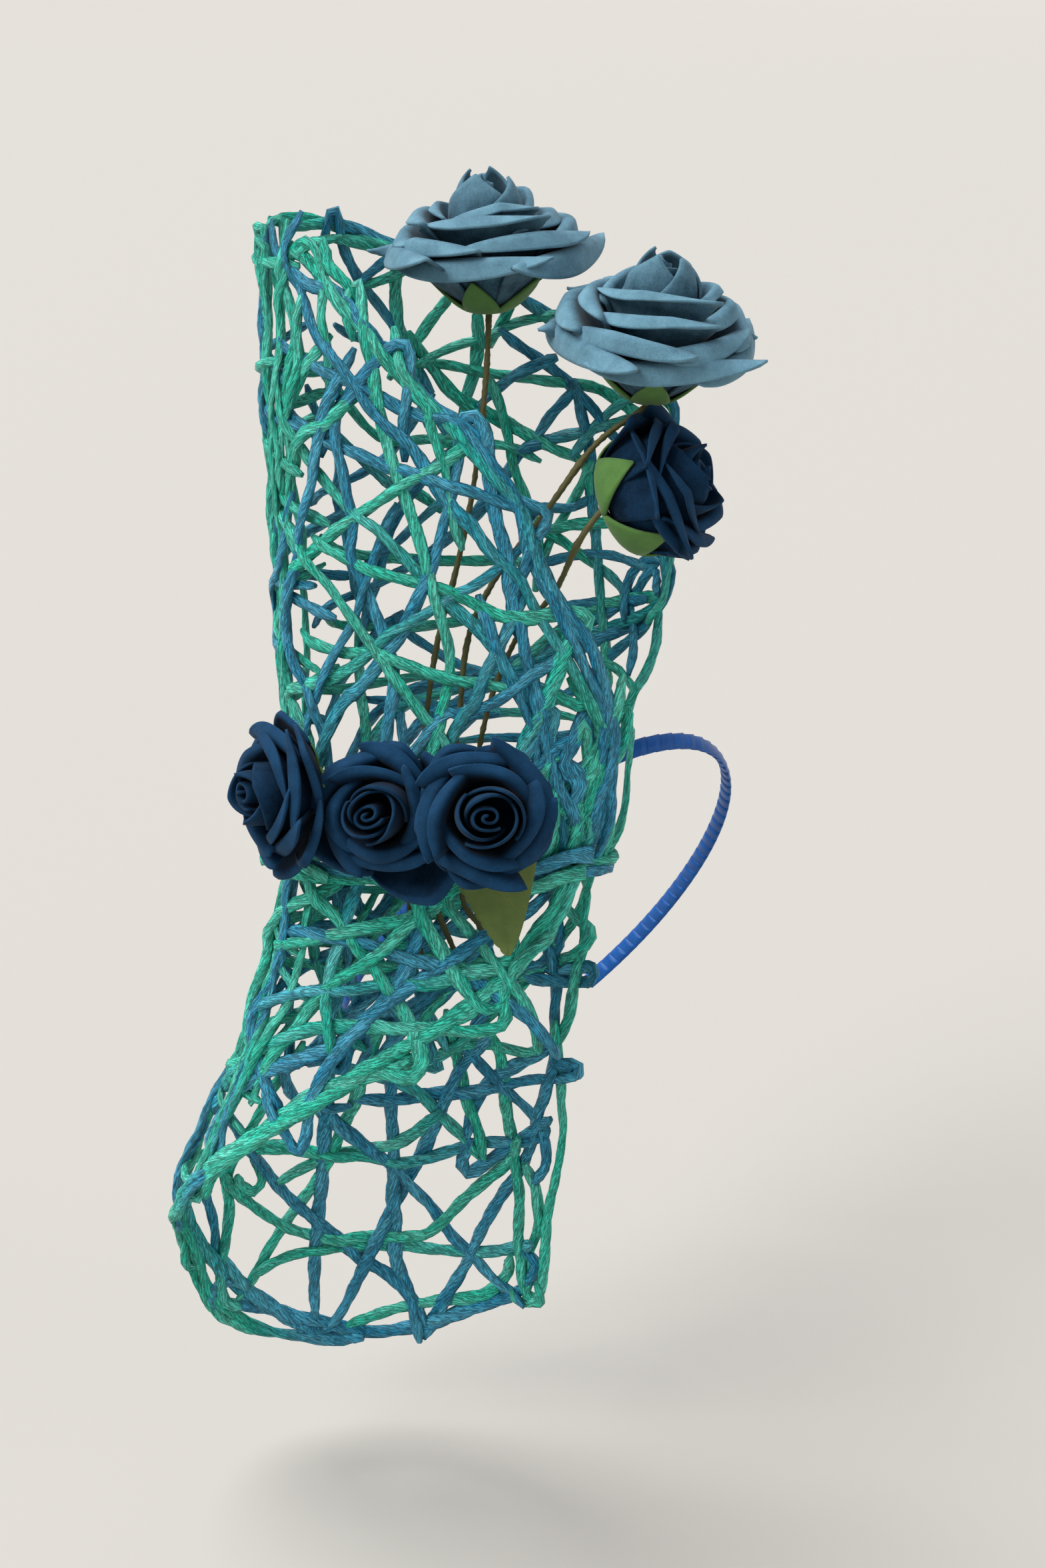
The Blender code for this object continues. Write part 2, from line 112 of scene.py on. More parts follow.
def grow_mesh(name, start, tree, sizes):
    """Run a geometry tree on a starting mesh and keep the plain mesh that it makes."""
    carrier = bpy.data.objects.new(name, start)
    bpy.context.scene.collection.objects.link(carrier)
    growth = carrier.modifiers.new("growth", "NODES")
    growth.node_group = tree
    for item in tree.interface.items_tree:
        if item.in_out == "INPUT" and item.name in sizes:
            growth[item.identifier] = sizes[item.name]
    mesh = bpy.data.meshes.new_from_object(carrier.evaluated_get(bpy.context.evaluated_depsgraph_get()))
    carrier.modifiers.clear()
    bpy.data.objects.remove(carrier)
    mesh.name = name
    return mesh


def add_piece(name, mesh, slot, *nodes):
    """Hang a finished mesh on the body, in place of the plain solids named."""
    piece = bpy.data.objects.new(name, mesh)
    bpy.context.scene.collection.objects.link(piece)
    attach(piece, "root")
    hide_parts(*nodes)


def new_material(name, **fields):
    """Start a material and set the shader's own constant fields."""
    material = bpy.data.materials.new(name)
    material.use_nodes = True
    shader = material.node_tree.nodes["Principled BSDF"]
    for label, value in fields.items():
        shader.inputs[label.replace("_", " ").title().replace("Ior", "IOR")].default_value = value
    return material, material.node_tree, shader


def read_attribute(tree, name):
    return add_node(tree, "ShaderNodeAttribute", attribute_name=name)


def add_bump(tree, shader, height, strength, distance):
    """Raise a material's surface by a pattern, by the distance in metres."""
    made = add_node(tree, "ShaderNodeBump", {"Height": height, "Strength": strength, "Distance": distance})
    tree.links.new(made.outputs[0], shader.inputs["Normal"])


def end_tree(tree, result, geometry, material):
    """End a geometry tree: make its copies real, shade them smooth and set their material."""
    made = add_node(tree, "GeometryNodeRealizeInstances", {"Geometry": geometry}).outputs[0]
    made = add_node(tree, "GeometryNodeSetShadeSmooth", {"Geometry": made}).outputs[0]
    made = add_node(tree, "GeometryNodeSetMaterial", {"Geometry": made, "Material": material}).outputs[0]
    tree.links.new(made, result["Geometry"])


def mix_colours(tree, share, first, second):
    made = add_node(tree, "ShaderNodeMix", data_type="RGBA")
    for index, value in ((0, share), (6, first), (7, second)):
        if isinstance(value, bpy.types.NodeSocket):
            tree.links.new(value, made.inputs[index])
        else:
            made.inputs[index].default_value = value
    return made.outputs[2]


def arch_point(turn, grow, across=0.0):
    """A point of the band's arch, in display mm."""
    point = Vector(((BAND_HALF_WIDTH + grow) * math.sin(turn), across,
                    (BAND_HEIGHT + grow) * math.cos(turn) - BAND_HEIGHT))
    stance = (Matrix.Rotation(FACE_TURN, 3, "Z") @ Matrix.Rotation(BAND_LEAN, 3, "X")
              @ Matrix.Rotation(BAND_ROLL, 3, "Y"))
    return np.array(stance @ point) + BAND_TOP


winding, source, result = new_tree(
    "ribbon_winding", "GeometryNodeTree",
    (("Geometry", "Geometry"), ("Half Width", "Float"), ("Half Thickness", "Float"), ("Step", "Float"),
     ("Lap", "Float"), ("Slant", "Float"), ("Material", "Material")), (("Geometry", "Geometry"),))
arch_line = add_node(winding, "GeometryNodeMeshToCurve", {"Mesh": source["Geometry"]})
turns = add_node(winding, "GeometryNodeResampleCurve",
                 {"Curve": arch_line.outputs[0], "Length": source["Step"]}, mode="LENGTH")
one_turn = add_node(winding, "GeometryNodeMeshCone", {
    "Vertices": RIBBON_SIDES, "Side Segments": 3,
    "Radius Top": 1 - RIBBON_FLARE, "Radius Bottom": 1 + RIBBON_FLARE,
    "Depth": add_math(winding, "MULTIPLY", source["Step"], source["Lap"])})
oval = add_node(winding, "ShaderNodeCombineXYZ",
                {"X": source["Half Width"], "Y": source["Half Thickness"], "Z": 1.0})
turn_shape = add_node(winding, "GeometryNodeTransform",
                      {"Geometry": one_turn.outputs["Mesh"], "Scale": oval.outputs[0]})
tangent = add_node(winding, "GeometryNodeInputTangent")
strip_side = add_node(winding, "GeometryNodeInputNamedAttribute", {"Name": "outward"},
                      data_type="FLOAT_VECTOR")
heading = add_node(winding, "FunctionNodeAxesToRotation",
                   {"Primary Axis": tangent.outputs[0], "Secondary Axis": strip_side.outputs[0]},
                   primary_axis="Z", secondary_axis="X")
turn_place = add_node(winding, "GeometryNodeInputPosition").outputs[0]
shear = add_math(winding, "MULTIPLY", add_node(winding, "ShaderNodeSeparateXYZ", {0: turn_place}).outputs[0],
                 add_math(winding, "TANGENT", source["Slant"]))
slant = add_node(winding, "ShaderNodeCombineXYZ", {"Z": shear})
slanted = add_node(winding, "GeometryNodeSetPosition",
                   {"Geometry": turn_shape.outputs[0], "Offset": slant.outputs[0]})
laid = add_node(winding, "GeometryNodeInstanceOnPoints", {
    "Points": turns.outputs[0], "Instance": slanted.outputs[0], "Rotation": heading.outputs[0]})
end_tree(winding, result, laid.outputs[0], source["Material"])

satin, tree, shader = new_material(
    "wound_satin_ribbon", roughness=0.34, sheen_weight=0.04, specular_ior_level=0.22)
place = add_node(tree, "ShaderNodeTexCoord").outputs["Object"]
rib = add_node(tree, "ShaderNodeTexNoise", {"Vector": place, "Scale": RIB_GRAIN, "Detail": 3.0})
thread = add_node(tree, "ShaderNodeTexNoise", {"Vector": place, "Scale": THREAD_GRAIN, "Detail": 2.0})
shade = add_math(tree, "MULTIPLY_ADD", rib.outputs[0], 1.6, -0.35)
tree.links.new(mix_colours(tree, shade, ROYAL_SHADE, ROYAL_BLUE), shader.inputs["Base Color"])
add_bump(tree, shader, thread.outputs[0], 0.35, THREAD_RELIEF)
tree.links.new(add_math(tree, "MULTIPLY_ADD", rib.outputs[0], 0.25, 0.24), shader.inputs["Roughness"])

arch = [arch_point(BAND_END_ANGLE * (2 * k / ARCH_POINTS - 1), BAND_THICKNESS / 2)
        for k in range(ARCH_POINTS + 1)]
sides = [placed(arch_point(0, 0, 1)) - placed(arch_point(0, 0))] * len(arch)
arch_mesh = bpy.data.meshes.new("arch")
arch_mesh.from_pydata([tuple(p) for p in placed(arch)], [(k, k + 1) for k in range(ARCH_POINTS)], [])
side_data = arch_mesh.attributes.new("outward", "FLOAT_VECTOR", "POINT")
side_data.data.foreach_set("vector", (np.array(sides) / MM).ravel())
add_piece("ribbon_band", grow_mesh("ribbon_band", arch_mesh, winding, {
    "Half Width": (BAND_STRIP_WIDTH / 2 + RIBBON_PLY) * MM,
    "Half Thickness": (BAND_THICKNESS / 2 + RIBBON_PLY) * MM,
    "Step": RIBBON_STEP * MM, "Lap": RIBBON_LAP, "Slant": RIBBON_SLANT, "Material": satin}),
    "satin_ribbon", "headband")

# Paper cord: a strip of crepe paper, twisted loosely, so that it is lobed and full of long creases.
# It is space-dyed from sea green to deep blue and goes pale in worn patches where the dye is thin, patches that
# also serve as a painted highlight; painted shade darkens its creases.
# One tree lays every cord, from the net's strands to the flattened tie at the waist.
CORD_TWIST = 52.0
CORD_LOBES = 4
CORD_LOBE_DEPTH = 0.11
CORD_PROFILE = 14
CORD_STEP = 3.6
CORD_OFFSET = 0.0137
CORD_SPREAD = 0.55
PAPER_RELIEF = 0.0009
PAPER_STREAKS, PAPER_STRETCH = 4.6, 42.0
DYE_DRIFT, DYE_BLEND = 0.9, (0.22, 0.78)
WEAR_HIGHLIGHT_CLOUDS, WEAR_HIGHLIGHT_STREAKS, WEAR_HIGHLIGHT_BLEND = 2.9, 1.5, (1.75, 3.6)
CREASE_SHADE_DARKEST = 0.42
GREEN = (0.012, 0.660, 0.460, 1)
PALE_GREEN = (0.230, 0.90, 0.75, 1)
BLUE = (0.010, 0.300, 0.520, 1)
PALE_BLUE = (0.160, 0.660, 0.840, 1)
Cord = namedtuple("Cord", "points outward half_width press tint closed")

cord_lay, source, result = new_tree(
    "cord_lay", "GeometryNodeTree",
    (("Geometry", "Geometry"), ("Lobes", "Float"), ("Lobe Depth", "Float"), ("Twist Length", "Float"),
     ("Profile Points", "Int"), ("Material", "Material")), (("Geometry", "Geometry"),))


def named_value(tree, name, kind="FLOAT"):
    made = add_node(tree, "GeometryNodeInputNamedAttribute", {"Name": name}, data_type=kind)
    return made.outputs["Attribute"]


lines = add_node(cord_lay, "GeometryNodeMeshToCurve", {"Mesh": source["Geometry"]})
turns = add_math(cord_lay, "DIVIDE", named_value(cord_lay, "along"), source["Twist Length"])
twist = add_math(cord_lay, "MULTIPLY", turns, math.tau)
twisted = add_node(cord_lay, "GeometryNodeSetCurveTilt", {"Curve": lines.outputs[0], "Tilt": twist})
position = add_node(cord_lay, "GeometryNodeInputPosition").outputs[0]
centred = add_node(cord_lay, "GeometryNodeStoreNamedAttribute",
                   {"Geometry": twisted.outputs[0], "Name": "centre", "Value": position},
                   data_type="FLOAT_VECTOR", domain="POINT")
ring = add_node(cord_lay, "GeometryNodeCurvePrimitiveCircle",
                {"Resolution": source["Profile Points"], "Radius": 1.0}, mode="RADIUS")
ringed = add_node(cord_lay, "GeometryNodeStoreNamedAttribute",
                  {"Geometry": ring.outputs[0], "Name": "ring", "Value": position},
                  data_type="FLOAT_VECTOR", domain="POINT")
flat_place = add_node(cord_lay, "ShaderNodeSeparateXYZ", {0: position})
bearing = add_math(cord_lay, "ARCTAN2", flat_place.outputs[1], flat_place.outputs[0])
lobe = add_math(cord_lay, "COSINE", add_math(cord_lay, "MULTIPLY", bearing, source["Lobes"]))
swell = add_math(cord_lay, "MULTIPLY_ADD", lobe, source["Lobe Depth"], 1.0)
lobed = add_node(cord_lay, "GeometryNodeSetPosition",
                 {"Geometry": ringed.outputs[0], "Position": add_vector(cord_lay, "MULTIPLY", position, swell)})
tube = add_node(cord_lay, "GeometryNodeCurveToMesh", {
    "Curve": centred.outputs[0], "Profile Curve": lobed.outputs[0],
    "Scale": named_value(cord_lay, "half_width"), "Fill Caps": True})
centre = named_value(cord_lay, "centre", "FLOAT_VECTOR")
outward = add_vector(cord_lay, "NORMALIZE", named_value(cord_lay, "outward", "FLOAT_VECTOR"))
arm = add_vector(cord_lay, "SUBTRACT", position, centre)
height = add_vector(cord_lay, "DOT_PRODUCT", arm, outward)
upright = add_vector(cord_lay, "MULTIPLY", outward, height)
spread = add_vector(cord_lay, "SUBTRACT", arm, upright)
press = named_value(cord_lay, "press")
widen = add_vector(cord_lay, "MULTIPLY", spread, add_math(cord_lay, "MULTIPLY", press, CORD_SPREAD))
flatten = add_vector(cord_lay, "MULTIPLY", upright, press)
pressed = add_node(cord_lay, "GeometryNodeSetPosition",
                   {"Geometry": tube.outputs[0], "Offset": add_vector(cord_lay, "SUBTRACT", widen, flatten)})
made = pressed.outputs[0]
for spent in ("centre", "outward", "press", "half_width"):
    made = add_node(cord_lay, "GeometryNodeRemoveAttribute", {"Geometry": made, "Name": spent}).outputs[0]
end_tree(cord_lay, result, made, source["Material"])


def cord_lines(name, cords):
    """Lay the cords' centre lines in one mesh, with what the tree reads at each point."""
    mesh = bpy.data.meshes.new(name)
    spots, edges = [], []
    fields = {"half_width": [], "press": [], "tint": [], "along": []}
    outwards = []
    for cord in cords:
        start = len(spots)
        points = placed(cord.points)
        count = len(points)
        steps = np.linalg.norm(np.diff(points, axis=0), axis=1)
        spots.extend(map(tuple, points))
        edges.extend((start + k, start + k + 1) for k in range(count - 1))
        if cord.closed:
            edges.append((start + count - 1, start))
        outwards.append(placed(cord.points + cord.outward) - points)
        fields["along"].append(np.concatenate([[0], np.cumsum(steps)]) + start * CORD_OFFSET)
        for field, values in (("half_width", np.asarray(cord.half_width) * MM), ("press", cord.press),
                              ("tint", cord.tint)):
            fields[field].append(np.broadcast_to(values, count))
    mesh.from_pydata(spots, edges, [])
    for field, values in fields.items():
        mesh.attributes.new(field, "FLOAT", "POINT").data.foreach_set("value", np.concatenate(values))
    carried = mesh.attributes.new("outward", "FLOAT_VECTOR", "POINT")
    carried.data.foreach_set("vector", np.concatenate(outwards).ravel())
    return mesh


creases, source, result = new_tree(
    "paper_creases", "ShaderNodeTree",
    (("Ring", "Vector"), ("Along", "Float"), ("Streaks", "Float"), ("Stretch", "Float")),
    (("Streak", "Float"), ("Crease", "Float"), ("Wear", "Float"), ("Drift", "Float")))
flat_ring = add_node(creases, "ShaderNodeSeparateXYZ", {0: source["Ring"]})
run = add_math(creases, "MULTIPLY", source["Along"], source["Stretch"])
skin = add_node(creases, "ShaderNodeCombineXYZ",
                {"X": flat_ring.outputs[0], "Y": flat_ring.outputs[1], "Z": run})
streak = add_node(creases, "ShaderNodeTexNoise",
                  {"Vector": skin.outputs[0], "Scale": source["Streaks"], "Detail": 4.0, "Roughness": 0.65})
fold = add_node(creases, "ShaderNodeTexNoise", {
    "Vector": add_vector(creases, "ADD", skin.outputs[0], (7.3, 2.1, 4.4)),
    "Scale": source["Streaks"], "Detail": 2.0})
valley = add_math(creases, "ABSOLUTE", add_math(creases, "MULTIPLY_ADD", fold.outputs[0], 2.0, -1.0))
crease = add_math(creases, "MINIMUM", add_math(creases, "MULTIPLY", valley, 6.5), 1.0)
creases.links.new(streak.outputs[0], result["Streak"])
creases.links.new(crease, result["Crease"])
for label, squeeze, detail in (("Wear", (0.55, 0.55, 0.32), 2.5), ("Drift", (0.02, 0.02, 0.16), 1.0)):
    slow = add_node(creases, "ShaderNodeTexNoise", {
        "Vector": add_vector(creases, "MULTIPLY", skin.outputs[0], squeeze), "Scale": 1.0, "Detail": detail})
    creases.links.new(slow.outputs[0], result[label])


def creased_skin(tree, streaks, stretch):
    """Wrap the crease pattern round a cord: streaks across it, drawn out along its run."""
    return add_node(tree, "ShaderNodeGroup", {
        "Ring": read_attribute(tree, "ring").outputs["Vector"],
        "Along": read_attribute(tree, "along").outputs["Fac"],
        "Streaks": streaks, "Stretch": stretch}, node_tree=creases)


paper, tree, shader = new_material("twisted_paper_cord", specular_ior_level=0.42)
skin_of_cord = creased_skin(tree, PAPER_STREAKS, PAPER_STRETCH)
blueness = add_math(tree, "ADD", read_attribute(tree, "tint").outputs["Fac"],
                    add_math(tree, "MULTIPLY_ADD", skin_of_cord.outputs["Drift"], DYE_DRIFT, -DYE_DRIFT / 2))
blueness = add_node(tree, "ShaderNodeMapRange", {0: blueness, 1: DYE_BLEND[0], 2: DYE_BLEND[1]},
                    interpolation_type="SMOOTHSTEP").outputs[0]
deep = mix_colours(tree, blueness, GREEN, BLUE)
pale = mix_colours(tree, blueness, PALE_GREEN, PALE_BLUE)
# Pale patches: worn paper where the dye is thin, and a painted highlight too.
wear_and_highlight = add_math(tree, "ADD", add_math(tree, "MULTIPLY", skin_of_cord.outputs["Wear"], WEAR_HIGHLIGHT_CLOUDS),
                add_math(tree, "MULTIPLY", skin_of_cord.outputs["Streak"], WEAR_HIGHLIGHT_STREAKS))
wear_and_highlight = add_node(tree, "ShaderNodeMapRange", {0: wear_and_highlight, 1: WEAR_HIGHLIGHT_BLEND[0], 2: WEAR_HIGHLIGHT_BLEND[1]}).outputs[0]
dyed = mix_colours(tree, wear_and_highlight, deep, pale)
# Painted shade: the colour is darkened along the crease lines, where shade falls in the folds.
crease_shade = add_math(tree, "MULTIPLY_ADD", skin_of_cord.outputs["Crease"], 1 - CREASE_SHADE_DARKEST, CREASE_SHADE_DARKEST)
shaded = add_node(tree, "ShaderNodeMix", data_type="RGBA", blend_type="MULTIPLY")
shaded.inputs[0].default_value = 1.0
tree.links.new(dyed, shaded.inputs[6])
tree.links.new(crease_shade, shaded.inputs[7])
tree.links.new(shaded.outputs[2], shader.inputs["Base Color"])
relief = add_math(tree, "ADD", add_math(tree, "MULTIPLY", skin_of_cord.outputs["Crease"], 0.8),
                  skin_of_cord.outputs["Streak"])
add_bump(tree, shader, relief, 1.0, PAPER_RELIEF)
gloss = add_math(tree, "MULTIPLY_ADD", skin_of_cord.outputs["Streak"], 0.35, 0.3)
tree.links.new(gloss, shader.inputs["Roughness"])

# Nets: the paper cord woven freely over a former, an oval at each height that is wide at the mouth,
# pinched at the waist and swung out to the left below it, then stiffened and slipped off.
# Each cord passes over or under every one that it crosses, and hooks over at the free edges.
Level = namedtuple("Level", "height left right near far")
WALL_LEVELS = (
    Level(-245, -133, 10, -82, -4), Level(-150, -133, 19, -82, -14), Level(-80, -104, 26, -72, -20),
    Level(-50, -93, 28, -64, -16), Level(-18, -87, 32, -58, -8.8), Level(10, -87, 41, -60, -6),
    Level(40, -89, 53, -60, 34), Level(80, -90, 58, -56, 50), Level(160, -93, 57, -42, 50),
    Level(210, -93, 53, -25, 45),
)
MOUTH_RIM = (
    (0, -5), (22, 8), (40, 24), (50, 52), (60, 86), (80, 127), (98, 154), (118, 176), (138, 193),
    (158, 200), (196, 205), (224, 200), (248, 193), (266, 183), (288, 168), (308, 155), (337, 146),
    (339, 82), (339, 43), (346, 16), (360, -5),
)
SCOOP_RIM = (
    (0, -32), (24, -38), (44, -48), (60, -67), (74, -76), (90, -85), (112, -96), (132, -110), (148, -128),
    (166, -149), (186, -161), (200, -186), (210, -212), (228, -228), (256, -240), (286, -240), (312, -230),
    (338, -214), (344, -146), (342, -86), (348, -50), (360, -32),
)
WAIST_HEIGHT = -18.0
WAIST_GAP = 4.0
LAYER = 1.8
LAYER_REACH = 2.0
LAYER_CALM = 0.35
LAYER_APART = 3
TURN_WIDTH = 1.15
BELLY = 0.5
BELLY_INSET = 2.2
BELLY_CALM = (12, 20)
BELLY_WAVES = ((1.0, 11.0, 23.0, 0.0), (0.6, 7.0, -19.0, 2.0))
CORD_WAVER, CORD_WAVER_RUNS = (0.04, 0.11), (3.1, 7.7)
CORD_PRESS, CORD_PRESS_SWING, CORD_PRESS_RUN, CORD_PRESS_LIMITS = 0.26, 0.22, 5.3, (0.05, 0.6)
CORD_END, CORD_END_RUN = 0.5, 9.0
WOVEN_UP, WOVEN_BACK = (0.3, 0.62, 0.88), (0.86, 0.6, 0.3)
WOVEN_STRAY, EDGE_STRAY = 4, 6
HOOK, HOOK_TURNS = 1.0, (-1.5, 1, 3.5)
TIED_IN = -1.0
SPACING_VARY, LEVEL_VARY = (0.7, 1.3), (0.2, 0.8)
BELT_ENDS, BELT_STRAY = 45, 2
SIDE_RISE, SIDE_STRAY = (12, 34), 3
SIDE_NEAR, SIDE_FAR = (134, 150), (212, 232)
SIDE_COURSE = ((0, -2.0), (0.33, 0.0), (0.67, 0.0), (1, -2.0))
BUNDLE_STEP, BUNDLE_TWIST, BUNDLE_STRAY, BUNDLE_FLAT = 1.5, (5.5, 8.5), 3, 0.8
WOVEN_DYES = ((0, 0), (0, 0.3), (1, 1), (0.9, 1), (0, 1), (1, 0.2))
WOVEN_WIDTHS = (1.5, 1.9)
BELT_WIDTHS = (1.4, 1.8)
SIDE_WIDTHS = (1.6, 1.9)
SIDE_DYES = (0.05, 0.2, 0.9, 1.0)
BUNDLE_WIDTHS = (1.6, 2.0)


def wall_points(angle, height, outward=0.0):
    """Points of the wall: angle 0 is its right, 90 its near side; outward moves them off the wall."""
    angle, height, outward = np.broadcast_arrays(*map(np.asarray, (angle, height, outward)))
    stations = np.array([level.height for level in WALL_LEVELS], float)
    where = np.clip(height, stations[0], stations[-1])
    i = np.clip(np.searchsorted(stations, where, side="right") - 1, 0, len(stations) - 2)
    span = stations[i + 1] - stations[i]
    t = (where - stations[i]) / span
    ease = t * t * (3 - 2 * t)
    sides = []
    for side in ("left", "right", "near", "far"):
        values = np.array([getattr(level, side) for level in WALL_LEVELS], float)
        reach = np.array([min(k + 1, len(values) - 1) for k in range(len(values))])
        back = np.array([max(k - 1, 0) for k in range(len(values))])
        slopes = (values[reach] - values[back]) / (stations[reach] - stations[back])
        sides.append(values[i] * (1 - ease) + values[i + 1] * ease
                     + span * (slopes[i] * t * (1 - t) ** 2 - slopes[i + 1] * t * t * (1 - t)))
    left, right, near, far = sides
    turn = np.radians(angle)
    return np.stack([(left + right) / 2 + ((right - left) / 2 + outward) * np.cos(turn),
                     (near + far) / 2 - ((far - near) / 2 + outward) * np.sin(turn), height * 1.0], -1)


def smooth_rows(rows, count):
    """Read a smooth line through rows of numbers, evenly by their order."""
    rows = np.asarray(rows, float)
    padded = np.vstack([2 * rows[0] - rows[1], rows, 2 * rows[-1] - rows[-2]])
    spots = np.linspace(0, len(rows) - 1 - 1e-9, count)
    i = spots.astype(int)
    t = (spots - i)[:, None]
    a, b, c, d = (padded[i + k] for k in range(4))
    return 0.5 * (2 * b + (c - a) * t + (2 * a - 5 * b + 4 * c - d) * t ** 2
                  + (3 * b - a - 3 * c + d) * t ** 3)


def even_rows(rows):
    """Read a smooth line through (angle, height, outward) rows at even steps along the wall."""
    fine = smooth_rows(rows, 24 * len(rows))
    spots = wall_points(fine[:, 0], fine[:, 1], fine[:, 2])
    run = np.concatenate([[0], np.cumsum(np.linalg.norm(np.diff(spots, axis=0), axis=1))])
    count = max(int(run[-1] / CORD_STEP) + 1, 4)
    stations = np.linspace(0, run[-1], count)
    return np.stack([np.interp(stations, run, fine[:, k]) for k in range(3)], -1)


def wall_cord(rows, half_width, press, dye, closed):
    """A cord laid along (angle, height, outward) rows of the wall."""
    points = wall_points(rows[:, 0], rows[:, 1], rows[:, 2])
    normal = wall_points(rows[:, 0], rows[:, 1], rows[:, 2] + 1) - points
    return Cord(points, normal, half_width, press, dye, closed)


# The cords that the viewer can follow, on the near and the far wall. Each row gives a cord's dye at its
# two ends (0 sea green, 1 blue), its half width, and its course in the picture, from a chart's corner.
LENS, FILM_WIDTH = 50, 36
PICTURE_HEIGHT = 2352
VIEW_FOCUS = LENS / FILM_WIDTH * PICTURE_HEIGHT
VIEW_MIDDLE = (784, 1176)
VIEW_DISTANCE = 816.7
VIEW_DROP = math.radians(20)
CHART_SCALE = 1.96
UPPER_WIDTH = 0.84
LOWER_WIDTH = 0.98
UPPER_TIED = (1535, 1900)
LOWER_TIED = (112, 212)
TIE_LEAN, TIE_LEAN_MOST, TIE_LEAST_FALL = 0.7, 28.0, 6.0
END_TUCK = 3.0
END_TUCK_REACH = 2.0
UPPER_CHART = (360, 280)
LOWER_CHART = (240, 1240)
SIGHT_START = 30.0
SIGHT_ROUNDS = 14
SIGHT_EASE = 0.7
STRAY_MOST = 9.0
